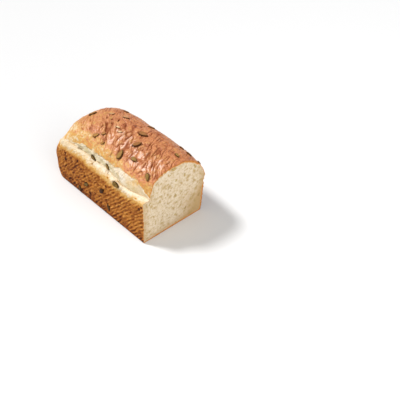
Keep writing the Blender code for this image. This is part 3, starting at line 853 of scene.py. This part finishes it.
class Graph:
    """A material's nodes. Each call adds one node and returns it, with its inputs set or linked."""

    def __init__(self, name, roughness, shine):
        self.material = bpy.data.materials.new(name)
        self.material.use_nodes = True
        self.tree = self.material.node_tree
        self.shader = self.tree.nodes["Principled BSDF"]
        self.shader.inputs["Roughness"].default_value = roughness
        self.shader.inputs["Specular IOR Level"].default_value = shine
        self.place = self.add("ShaderNodeTexCoord").outputs["Object"]

    def feed(self, socket, value):
        """Links an output to a socket, or sets its value."""
        if isinstance(value, bpy.types.NodeSocket):
            self.tree.links.new(value, socket)
        else:
            socket.default_value = value

    def add(self, kind, settings=(), **inputs):
        """A node of that kind. Inputs are named, or numbered as in_0, in_1."""
        node = self.tree.nodes.new(kind)
        for setting, value in dict(settings).items():
            setattr(node, setting, value)
        for socket, value in inputs.items():
            key = int(socket[3:]) if socket.startswith("in_") else socket.replace("_", " ")
            self.feed(node.inputs[key], value)
        return node

    def field(self, name):
        """A field of the piece's mesh."""
        return self.add("ShaderNodeAttribute", {"attribute_name": name}).outputs["Fac"]

    def math(self, operation, first, second=0.0, third=0.0, clamp=False):
        """A calculation with two or three numbers."""
        settings = {"operation": operation, "use_clamp": clamp}
        return self.add("ShaderNodeMath", settings, in_0=first, in_1=second, in_2=third).outputs[0]

    def times(self, first, second):
        """The product of two numbers."""
        return self.math("MULTIPLY", first, second)

    def noise(self, size, detail=2.0, roughness=0.5):
        """Noise from 0 to 1 with features of that size in millimetres."""
        node = self.add("ShaderNodeTexNoise", Vector=self.place, Scale=1 / (size * MM), Detail=detail)
        node.inputs["Roughness"].default_value = roughness
        return node.outputs["Fac"]

    def cells(self, size):
        """The distance to the middle of the nearest cell, for cells of that size in millimetres."""
        return self.add("ShaderNodeTexVoronoi", Vector=self.place, Scale=1 / (size * MM)).outputs["Distance"]

    def band(self, value, low, high, out_low=0.0, out_high=1.0):
        """The value carried smoothly from one range into another."""
        ranges = {"in_0": value, "in_1": low, "in_2": high, "in_3": out_low, "in_4": out_high}
        return self.add("ShaderNodeMapRange", {"interpolation_type": "SMOOTHSTEP"}, **ranges).outputs[0]

    def colours(self, value, stops):
        """A ramp of colours over a value."""
        node = self.add("ShaderNodeValToRGB", Fac=value)
        band = node.color_ramp
        while len(band.elements) < len(stops):
            band.elements.new(1.0)
        for element, (position, colour) in zip(band.elements, stops):
            element.position = position
            element.color = (*colour[:3], 1.0)
        return node.outputs["Color"]

    def blend(self, share, first, second, mode="MIX"):
        """Two colours mixed by a share."""
        node = self.add("ShaderNodeMix", {"data_type": "RGBA", "blend_type": mode})
        self.feed(node.inputs[0], share)
        self.feed(node.inputs[6], first)
        self.feed(node.inputs[7], second)
        return node.outputs[2]

    def bump(self, height, distance, strength=1.0):
        """Fine relief that many millimetres high."""
        node = self.add("ShaderNodeBump", Height=height, Distance=distance * MM, Strength=strength)
        if self.shader.inputs["Normal"].links:
            self.feed(node.inputs["Normal"], self.shader.inputs["Normal"].links[0].from_socket)
        self.feed(self.shader.inputs["Normal"], node.outputs["Normal"])


def opaque(colour):
    """A colour of the panel with full alpha."""
    return (*colour[:3], 1.0)


def crust_material(context, name, shine, roughness, grain):
    """Baked crust: pale dough, golden, orange-brown and dark by how far a place has baked, redder on the dome
    and duller where the tin was, with painted shade in the creases and the groove of the burst, a painted
    highlight of pale film on the folds, specks and blisters."""
    if name in bpy.data.materials:
        return bpy.data.materials[name]
    tints = context.scene.loaf_colours
    graph = Graph(name, roughness, shine)
    patches = graph.math("MULTIPLY_ADD", graph.noise(11, 3), 0.24, -0.12)
    grains = graph.math("MULTIPLY_ADD", graph.noise(2.4, 4, 0.65), grain, -grain / 2)
    bake = graph.math("ADD", graph.field("bake"), graph.math("ADD", patches, grains), clamp=True)
    pale = ((0.0, tints.dough), (0.18, tints.cream))
    brown = ((0.36, tints.golden), (0.6, tints.dome), (0.85, tints.dark_dome), (1.0, tints.burnt))
    dome = graph.colours(bake, (*pale, *brown))
    brown = ((0.38, tints.golden), (0.6, tints.wall), (0.85, tints.dark_wall), (1.0, tints.burnt))
    wall = graph.colours(bake, (*pale, *brown))
    colour = graph.blend(graph.field("tin"), dome, wall)
    # Painted shade in the groove of the burst and its cracks.
    colour = graph.blend(graph.times(graph.field("deep"), 0.8), colour, opaque(tints.painted_groove_shade))
    # Painted highlight: pale film on the crests of the folds.
    film_and_highlight = graph.times(graph.field("film_and_highlight"), graph.band(graph.noise(2.6, 3), 0.3, 0.6, 0.25, 0.75))
    colour = graph.blend(film_and_highlight, colour, opaque(tints.film_and_highlight))
    # Painted shade in the creases, cracks, dips and round the seeds.
    crease = graph.times(graph.field("crease"), graph.band(graph.field("bake"), 0.1, 0.5, 0.3, 0.9))
    colour = graph.blend(crease, colour, opaque(tints.crease))
    speck = graph.band(graph.cells(4.5), 0.1, 0.2, 1.0, 0.0)
    speck = graph.times(speck, graph.band(graph.noise(9, 2), 0.5, 0.62))
    speck = graph.times(speck, graph.band(bake, 0.5, 0.7))
    colour = graph.blend(graph.times(speck, 0.5), colour, opaque(tints.burnt))
    graph.feed(graph.shader.inputs["Base Color"], colour)
    rough = graph.band(bake, 0.05, 0.5, min(roughness + 0.25, 0.9), roughness)
    rough = graph.math("MULTIPLY_ADD", graph.field("crease"), 0.4, rough)
    graph.feed(graph.shader.inputs["Roughness"], graph.math("MULTIPLY_ADD", graph.noise(3, 2), 0.2, rough))
    graph.bump(graph.noise(1.1, 3, 0.6), 0.35)
    graph.bump(graph.cells(2.1), 0.25, 0.6)
    return graph.material


def dome_crust(context):
    """Crust that baked in the open: glossy where it is brown."""
    return crust_material(context, "dome crust", shine=0.5, roughness=0.26, grain=0.8)


def tin_crust(context):
    """Crust that baked against the tin: dull."""
    return crust_material(context, "tin crust", shine=0.12, roughness=0.6, grain=0.4)


def crumb_material(context):
    """Soft crumb: cream with painted shade in the pores and the tear, blotches a few millimetres wide, tan
    near the crust with painted shade low on the right, and a rim of baked crust.
    """
    tints = context.scene.loaf_colours
    graph = Graph("bread crumb", roughness=0.85, shine=0.1)
    blotch = graph.band(graph.noise(3.4, 4, 0.7), 0.42, 0.64)
    colour = graph.blend(blotch, opaque(tints.crumb), opaque(tints.crumb_dull))
    # Tan near the crust, and painted shade low on the right of the cut face.
    colour = graph.blend(graph.field("tan_and_shade"), colour, opaque(tints.crumb_tan_and_shade))
    # Painted shade in the pores, large and fine, and in the tear.
    fine_pore_shade = graph.band(graph.cells(1.3), 0.1, 0.35, 0.1, 0.0)
    pore_shade = graph.math("ADD", graph.field("pore_shade"), fine_pore_shade, clamp=True)
    colour = graph.blend(pore_shade, colour, opaque(tints.pore_shade))
    rim = graph.math("ADD", graph.field("rim"), graph.math("MULTIPLY_ADD", graph.noise(1.8, 2), 0.4, -0.2))
    stops = ((0.0, tints.crumb), (0.35, tints.golden), (0.7, tints.dome), (1.0, tints.wall))
    colour = graph.blend(graph.band(rim, 0.15, 0.5), colour, graph.colours(rim, stops))
    graph.feed(graph.shader.inputs["Base Color"], colour)
    graph.shader.inputs["Subsurface Weight"].default_value = 0.12
    graph.shader.inputs["Subsurface Radius"].default_value = (1.0, 0.8, 0.5)
    graph.shader.inputs["Subsurface Scale"].default_value = 2.5 * MM
    graph.bump(graph.noise(0.9, 3, 0.65), 0.5)
    graph.bump(graph.cells(1.3), 0.25, 0.6)
    return graph.material


def seed_material(context, name, stops, edge):
    """Seed kernels: a skin from brown to olive and golden by tone, with a lighter film in blotches, painted
    shade round the rim, and finely rough."""
    tints = context.scene.loaf_colours
    graph = Graph(name, roughness=0.55, shine=0.08)
    tone = graph.math("MULTIPLY_ADD", graph.noise(3, 2), 0.16, graph.field("tone"))
    colour = graph.colours(graph.math("SUBTRACT", tone, 0.08, clamp=True), stops)
    film_and_highlight = graph.times(graph.band(graph.noise(2.5, 3), 0.4, 0.66), graph.band(tone, 0.1, 0.5, 0.0, 0.26))
    colour = graph.blend(film_and_highlight, colour, opaque(tints.seed_film))
    # Painted shade round the rim, where the seed meets the crust or the crumb.
    rim = graph.band(graph.field("edge"), 0.35, 1.0, 0.0, edge)
    colour = graph.blend(rim, colour, opaque(tints.seed_rim_shade))
    graph.feed(graph.shader.inputs["Base Color"], colour)
    graph.bump(graph.noise(0.7, 3), 0.2)
    return graph.material


def seed_form():
    """One seed kernel of length 1 with its pointed end at +X: drop-shaped rings, x by the cosine and y by the
    sine drawn in towards the point, stacked from pole to pole, with a low bead round the top's margin. Gives
    the points, the triangles and how near the rim each point is."""
    steps, rings = SEED_STEPS, SEED_LEVELS - 2
    angle = np.linspace(0, 2 * math.pi, steps, endpoint=False)
    turn = np.linspace(-math.pi / 2, math.pi / 2, SEED_LEVELS)[1:-1, None]
    reach = np.cos(turn) ** 0.8
    points = np.zeros((rings, steps, 3))
    points[..., 0] = 0.5 * np.cos(angle) * reach
    points[..., 1] = SEED_WIDTH / 2 * np.sin(angle) * (1 - SEED_POINT * np.cos(angle)) * reach
    points[..., 2] = SEED_THICKNESS / 2 * (np.sin(turn) + SEED_BEAD * bell(reach, 0.8, 0.1) * np.sign(turn))
    pole = SEED_POLE * SEED_THICKNESS / 2
    poles = np.array([[0, 0, -pole], [0, 0, pole]])
    count = rings * steps
    sides = grid_faces(rings, steps, closed=True)
    bottom = fan_faces(steps, 0, count)[:, ::-1]
    top = fan_faces(steps, count - steps, count + 1)
    edge = np.concatenate([np.broadcast_to(reach**3, (rings, steps)).ravel(), [0.0, 0.0]])
    return np.concatenate([points.reshape(-1, 3), poles]), np.concatenate([sides, bottom, top]), edge


def lay_seeds(places):
    """Copies of the seed kernel at their places: (spot, normal, forward, side, length, tone, sunk)."""
    form, faces, edge = seed_form()
    points, triangles, tones = [], [], []
    for number, (spot, normal, forward, side, length, tone, sunk) in enumerate(places):
        lift = length * SEED_THICKNESS * (SEED_LIFT - sunk)
        kernel = form * length
        turned = kernel[:, :1] * forward + kernel[:, 1:2] * side + (kernel[:, 2:] + lift) * normal
        points.append(spot + turned)
        triangles.append(faces + number * len(form))
        tones.append(np.full(len(form), tone))
    fields = {"tone": np.concatenate(tones), "edge": np.tile(edge, len(places))}
    return np.concatenate(points), np.concatenate(triangles), fields


def pores(u, v, cell, share, seed):
    """Open pores, one in each cell of a square lattice: an ellipse with a random place, size and turn. Gives
    how deep each point lies in one, from 0 to 1."""
    depth = np.zeros_like(u)
    home_u, home_v = np.floor(u / cell).astype(np.int64), np.floor(v / cell).astype(np.int64)
    for step in np.ndindex(3, 3):
        cu, cv = home_u + step[0] - 1, home_v + step[1] - 1
        shift_u, shift_v, size, stretch, turn = (lattice_value(cu, cv, cu * 0, seed + k) for k in range(5))
        du = u - (cu + 0.5 + 0.4 * shift_u) * cell
        dv = v - (cv + 0.5 + 0.4 * shift_v) * cell
        turn = math.radians(PORE_TURN) + 1.4 * turn
        long = np.cos(turn) * du + np.sin(turn) * dv
        wide = np.cos(turn) * dv - np.sin(turn) * du
        radius = cell * PORE_RADIUS * (0.4 + 0.6 * ((size + 1) / 2) ** 2) * (size > 1 - 2 * share)
        stretch = PORE_STRETCH + 0.25 * stretch
        reach = np.hypot(long / stretch, wide * stretch) / np.maximum(radius, 1e-6)
        depth = np.maximum(depth, 1 - ramp(reach, 0.1, 1.1))
    return depth


def rim_thickness(count, thickness):
    """How thick the crust shows at each of the places round the cut, blended where it changes."""
    place = np.arange(count)
    rims = np.select([place <= end for end, _ in RIMS], [size for _, size in RIMS])
    rims = np.concatenate([rims[-RIM_SPREAD:], rims, rims[:RIM_SPREAD]])
    spread = 2 * RIM_SPREAD + 1
    return np.convolve(rims, np.ones(spread) / spread, "valid") * thickness / CRUST_THICKNESS


def crumb_face(context):
    """The cut face: rings from the skin's first ring to the middle, with pores and a tear pressed into it."""
    sizes = context.scene.loaf_sizes
    outline = finished_skin(context)[0][0]
    count = len(outline)
    middle = np.array([0.0, *REAR_CENTRE])
    share = 1 - np.linspace(0, 1, CRUMB_RINGS + 1)[:-1, None, None]
    points = middle + (outline - middle) * share
    points = np.concatenate([points.reshape(-1, 3), middle[None]])
    u, v = points[:, 1], points[:, 2]
    reach = np.linalg.norm(outline - middle, axis=1)
    inset = (1 - share[..., 0]) * reach
    thickness = rim_thickness(count, sizes.crust_thickness / MM)
    rim = np.append((1 - ramp(inset, 0.2 * thickness, 1.7 * thickness)).ravel(), 0.0)
    inset = np.append(inset.ravel(), reach.mean())

    layers = [
        depth * pores(u + shift_u, v + shift_v, cell, full, seed)
        for cell, full, depth, (shift_u, shift_v), seed in PORE_LAYERS
    ]
    holes = np.max(layers, axis=0)
    across, up = u - TEAR_PLACE[0], v - TEAR_PLACE[1]
    tear = 1 - ramp(np.hypot(across / TEAR_SIZE[0], (up - TEAR_SLOPE * across) / TEAR_SIZE[1]), 0.5, 1.2)
    plane = np.stack([u, v, np.zeros_like(u)], axis=1)
    rough = 0.35 * (1 + slope_noise(plane / 9, 70)) + 0.2 * (1 + slope_noise(plane / 2, 71))
    inside = ramp(inset, 0.3, 2.5)
    points[:, 0] -= inside * (sizes.pore_depth / MM * (holes + 0.9 * tear) + rough)

    # The tan field: tan near the lower crust, and painted shade low down towards the right.
    near_edge = 0.6 * (1 - ramp(inset, 1.0, 16.0)) * (1 - ramp(v, 60, 90))
    low = (1 - ramp(v, 15, 62)) * ramp(u, 2, 48)
    tan_and_shade = np.clip(near_edge + low, 0, 1)
    # The pore field paints shade in the pores and the tear.
    fields = {"pore_shade": np.clip(holes * inside + 0.8 * tear, 0, 1), "rim": rim, "tan_and_shade": tan_and_shade}
    last = CRUMB_RINGS - 1
    fan = fan_faces(count, last * count, CRUMB_RINGS * count)
    faces = np.concatenate([grid_faces(CRUMB_RINGS, count, closed=True), fan])[:, ::-1]
    make_piece("crumb_face", points, faces, crumb_material(context), fields)


def millimetres(name, description, size):
    """A size that can be changed in the panel, given in millimetres."""
    return bpy.props.FloatProperty(name=name, description=description, default=size * MM, subtype="DISTANCE")


class LoafSizes(bpy.types.PropertyGroup):
    """Sizes of the crust's and the crumb's relief."""

    wrinkle_depth: millimetres("Wrinkle depth", "Depth of the folds on the dome", 1.6)
    rib_height: millimetres("Rib height", "Height of the tin's ribs on the walls", 1.3)
    blister_depth: millimetres("Blister depth", "Height of small blisters in the crust", 0.3)
    tear_depth: millimetres("Tear depth", "Depth of the torn layers in the burst", 1.0)
    pore_depth: millimetres("Pore depth", "Depth of the pores in the cut face", 0.6)
    crust_thickness: millimetres("Crust thickness", "Thickness of the crust seen at the cut", CRUST_THICKNESS)


def tint(name, description, red, green, blue):
    """A colour that can be changed in the panel, given in display numbers."""
    light = linear(red, green, blue)
    return bpy.props.FloatVectorProperty(
        name=name, description=description, subtype="COLOR", size=3, min=0.0, max=1.0, default=light
    )


class LoafColours(bpy.types.PropertyGroup):
    """Colours of crust, dough, crumb and seeds, and the shade and highlights painted on them."""

    dough: tint("Dough", "The palest dough in the burst", 242, 228, 206)
    cream: tint("Cream", "Dough that has just begun to colour", 229, 203, 162)
    golden: tint("Golden", "Lightly baked crust", 220, 170, 92)
    dome: tint("Dome", "Crust on top of the loaf", 216, 142, 92)
    dark_dome: tint("Dark dome", "The darkest crust on top", 166, 86, 44)
    wall: tint("Wall", "Crust that touched the tin", 192, 124, 50)
    dark_wall: tint("Dark wall", "The darkest crust that touched the tin", 136, 70, 18)
    burnt: tint("Burnt", "Specks and scorched spots", 66, 30, 10)
    # Painted shade in creases, cracks and round the seeds.
    crease: tint("Crease", "The bottom of folds in the crust", 142, 66, 14)
    # Painted highlight on the crests of the folds.
    film_and_highlight: tint("Film", "The light film on the folds of the crust", 248, 212, 192)
    # Painted shade in the groove of the burst.
    painted_groove_shade: tint("Deep dough", "Dough deep in the burst", 196, 184, 138)
    crumb: tint("Crumb", "The crumb", 235, 217, 191)
    crumb_dull: tint("Dull crumb", "Blotches in the crumb", 215, 190, 147)
    # Tan near the crust, with painted shade low on the right.
    crumb_tan_and_shade: tint("Tan crumb", "Crumb near the crust and low on the right", 202, 168, 120)
    # Painted shade in the pores.
    pore_shade: tint("Pore", "The bottom of pores", 192, 160, 106)
    seed_dark: tint("Dark seed", "Dark brown seed skin", 70, 40, 18)
    seed_green: tint("Green seed", "Dark olive seed skin", 98, 78, 32)
    seed_olive: tint("Olive seed", "Olive seed skin", 140, 110, 56)
    seed_golden: tint("Golden seed", "Golden seed skin", 170, 122, 62)
    seed_brown: tint("Brown seed", "Orange-brown seed skin", 150, 98, 56)
    seed_covered: tint("Covered seed", "Seed under a skin of crust", 206, 150, 104)
    seed_flake: tint("Flake", "Pale flakes on the crust", 238, 204, 158)
    seed_film: tint("Seed film", "Light film on the seeds", 202, 154, 98)
    # Painted shade round the rim of the seeds.
    seed_rim_shade: tint("Seed edge", "Rim of the seeds", 62, 38, 16)
    cut_seed: tint("Cut seed", "A seed that the knife went through", 206, 180, 120)
    cut_seed_dull: tint("Dull cut seed", "A darker cut seed", 170, 140, 88)
    floor: tint("Floor", "The plain floor", 240, 240, 240)


class LoafStudio(bpy.types.PropertyGroup):
    """The plain studio."""

    key_strength: bpy.props.FloatProperty(name="Key", description="Strength of the main light", default=2.7)
    fill_power: bpy.props.FloatProperty(
        name="Fill", description="Power of the fill light", default=7.5, unit="POWER"
    )
    ambient: bpy.props.FloatProperty(
        name="Ambient", description="Brightness of the surroundings", default=0.37
    )


class BREAD_OT_dome(bpy.types.Operator):
    """Lay the wrinkled crust of the dome"""

    bl_idname = "bread.dome"
    bl_label = "Dome crust"

    def execute(self, context):
        first = ENDS["groove"] + BURST_ROWS
        skin_piece(context, "crust_dome", first, ENDS["right_dome"], dome_crust(context))
        return {"FINISHED"}


class BREAD_OT_burst(bpy.types.Operator):
    """Lay the torn dough of the burst, with the lip below it"""

    bl_idname = "bread.burst"
    bl_label = "Burst"

    def execute(self, context):
        last = ENDS["groove"] + BURST_ROWS
        skin_piece(context, "burst_dough", ENDS["left_wall"], last, tin_crust(context))
        return {"FINISHED"}


class BREAD_OT_walls(bpy.types.Operator):
    """Lay the ribbed crust of both walls"""

    bl_idname = "bread.walls"
    bl_label = "Wall crust"

    def execute(self, context):
        skin_piece(context, "crust_wall_left", 0, ENDS["left_wall"], tin_crust(context))
        skin_piece(context, "crust_wall_right", ENDS["right_dome"], ENDS["right_corner"], tin_crust(context))
        return {"FINISHED"}


class BREAD_OT_base(bpy.types.Operator):
    """Lay the crust of the base"""

    bl_idname = "bread.base"
    bl_label = "Base crust"

    def execute(self, context):
        skin_piece(context, "crust_base", ENDS["right_corner"], ENDS["base"], tin_crust(context))
        return {"FINISHED"}


class BREAD_OT_rear(bpy.types.Operator):
    """Close the rear end with crust"""

    bl_idname = "bread.rear"
    bl_label = "Rear crust"

    def execute(self, context):
        points, normals, fields = finished_skin(context)
        rings = slice(-END_STEPS - 1, None)
        cut = points[rings]
        rows, columns = cut.shape[:2]
        middle = cut[-1].mean(axis=0)
        fan = fan_faces(columns, (rows - 1) * columns, rows * columns)
        faces = np.concatenate([grid_faces(rows, columns, closed=True), fan])
        chosen = {}
        for field, values in fields.items():
            chosen[field] = np.append(values[rings].ravel(), values[-1].mean())
        ends = np.concatenate([normals[rings].reshape(-1, 3), [[-1.0, 0.0, 0.0]]])
        cut = np.concatenate([cut.reshape(-1, 3), middle[None]])
        make_piece("crust_rear", cut, faces, tin_crust(context), chosen, ends)
        return {"FINISHED"}


class BREAD_OT_crumb(bpy.types.Operator):
    """Fill the cut face with crumb"""

    bl_idname = "bread.crumb"
    bl_label = "Crumb"

    def execute(self, context):
        crumb_face(context)
        return {"FINISHED"}


class BREAD_OT_crust_seeds(bpy.types.Operator):
    """Lay the seeds on the crust"""

    bl_idname = "bread.crust_seeds"
    bl_label = "Seeds on the crust"

    def execute(self, context):
        tints = context.scene.loaf_colours
        points, faces, fields = lay_seeds(crust_seeds())
        stops = (
            (0.0, tints.seed_dark),
            (0.22, tints.seed_green),
            (0.4, tints.seed_olive),
            (0.6, tints.seed_golden),
            (0.75, tints.seed_brown),
            (0.88, tints.seed_covered),
            (0.98, tints.seed_flake),
        )
        material = seed_material(context, "seed kernels", stops, edge=0.95)
        make_piece("seeds_on_crust", points, faces, material, fields)
        return {"FINISHED"}


class BREAD_OT_crumb_seeds(bpy.types.Operator):
    """Set the cut seeds in the crumb"""

    bl_idname = "bread.crumb_seeds"
    bl_label = "Seeds in the crumb"

    def execute(self, context):
        tints = context.scene.loaf_colours
        places = []
        for u, z, turn, length, tone in SEEDS_IN_CRUMB:
            turn = math.radians(turn)
            forward = np.array([0.0, math.cos(turn), math.sin(turn)])
            normal = np.array([1.0, 0.0, 0.0])
            spot = np.array([-CUT_SEED_DEPTH, u - BASE_HALF_WIDTH, z])
            places.append((spot, normal, forward, np.cross(normal, forward), length, tone, CUT_SEED_SUNK))
        points, faces, fields = lay_seeds(places)
        stops = ((0.0, tints.cut_seed), (1.0, tints.cut_seed_dull))
        material = seed_material(context, "cut seed kernels", stops, edge=0.3)
        make_piece("seeds_in_crumb", points, faces, material, fields)
        return {"FINISHED"}


def add_light(name, kind, place, size, power):
    """A soft light that points at the loaf: a square area by its side, or a sun by its angle in degrees."""
    data = bpy.data.lights.new(name, kind)
    if kind == "SUN":
        data.angle = math.radians(size)
    else:
        data.size = size
    data.energy = power
    light = bpy.data.objects.new(name, data)
    bpy.context.scene.collection.objects.link(light)
    light.location = place
    light.rotation_euler = (Vector(LIGHT_AIM) - Vector(place)).to_track_quat("-Z", "Y").to_euler()


class BREAD_OT_studio(bpy.types.Operator):
    """Set up the floor, the lights and the camera"""

    bl_idname = "bread.studio"
    bl_label = "Studio"

    def execute(self, context):
        scene = context.scene
        studio = scene.loaf_studio
        half = FLOOR_SIZE / 2
        data = bpy.data.meshes.new("floor")
        corners = ((-half, -half), (half, -half), (half, half), (-half, half))
        data.from_pydata([(x, y, -FLOOR_DROP) for x, y in corners], [], [(0, 1, 2, 3)])
        graph = Graph("pale floor", roughness=0.8, shine=0.2)
        tone = graph.band(graph.noise(400, 2), 0.2, 0.8, 0.0, 0.06)
        shade = tuple(0.9 * value for value in scene.loaf_colours.floor)
        colour = graph.blend(tone, opaque(scene.loaf_colours.floor), opaque(shade))
        graph.feed(graph.shader.inputs["Base Color"], colour)
        data.materials.append(graph.material)
        floor = bpy.data.objects.new("floor", data)
        scene.collection.objects.link(floor)

        add_light("key", "SUN", KEY_PLACE, KEY_ANGLE, studio.key_strength)
        add_light("fill", "AREA", FILL_PLACE, FILL_SIZE, studio.fill_power)
        world = bpy.data.worlds.new("surroundings")
        world.use_nodes = True
        background = world.node_tree.nodes["Background"]
        background.inputs["Color"].default_value = (1.0, 1.0, 1.0, 1.0)
        background.inputs["Strength"].default_value = studio.ambient
        scene.world = world
        scene.view_settings.view_transform = "Standard"

        data = bpy.data.cameras.new("camera")
        data.lens = CAMERA_LENS
        data.sensor_width = SENSOR
        camera = bpy.data.objects.new("camera", data)
        camera.location = CAMERA_PLACE
        camera.rotation_euler = [math.radians(turn) for turn in CAMERA_TURN]
        scene.collection.objects.link(camera)
        scene.camera = camera
        return {"FINISHED"}


class BREAD_PT_panel(bpy.types.Panel):
    """Sizes, colours and steps of the loaf"""

    bl_label = "Pumpkin seed bread"
    bl_idname = "BREAD_PT_panel"
    bl_space_type = "VIEW_3D"
    bl_region_type = "UI"
    bl_category = "Bread"

    def draw(self, context):
        for group in (context.scene.loaf_sizes, context.scene.loaf_colours, context.scene.loaf_studio):
            box = self.layout.box()
            for name in group.__annotations__:
                box.prop(group, name)
        for operator in OPERATORS:
            self.layout.operator(operator.bl_idname)


OPERATORS = (
    BREAD_OT_dome,
    BREAD_OT_burst,
    BREAD_OT_walls,
    BREAD_OT_base,
    BREAD_OT_rear,
    BREAD_OT_crumb,
    BREAD_OT_crust_seeds,
    BREAD_OT_crumb_seeds,
    BREAD_OT_studio,
)
GROUPS = {"loaf_sizes": LoafSizes, "loaf_colours": LoafColours, "loaf_studio": LoafStudio}


def register():
    """Makes the classes known, and gives each scene its settings."""
    for kind in (*GROUPS.values(), *OPERATORS, BREAD_PT_panel):
        bpy.utils.register_class(kind)
    for name, group in GROUPS.items():
        setattr(bpy.types.Scene, name, bpy.props.PointerProperty(type=group))


def unregister():
    """Takes the settings and classes away again."""
    for name in GROUPS:
        delattr(bpy.types.Scene, name)
    for kind in reversed((*GROUPS.values(), *OPERATORS, BREAD_PT_panel)):
        bpy.utils.unregister_class(kind)


def main():
    """Makes the classes known, then every piece in order and the studio."""
    register()
    bpy.ops.bread.dome()
    bpy.ops.bread.burst()
    bpy.ops.bread.walls()
    bpy.ops.bread.base()
    bpy.ops.bread.rear()
    bpy.ops.bread.crumb()
    bpy.ops.bread.crust_seeds()
    bpy.ops.bread.crumb_seeds()
    bpy.ops.bread.studio()


if __name__ == "__main__":
    main()
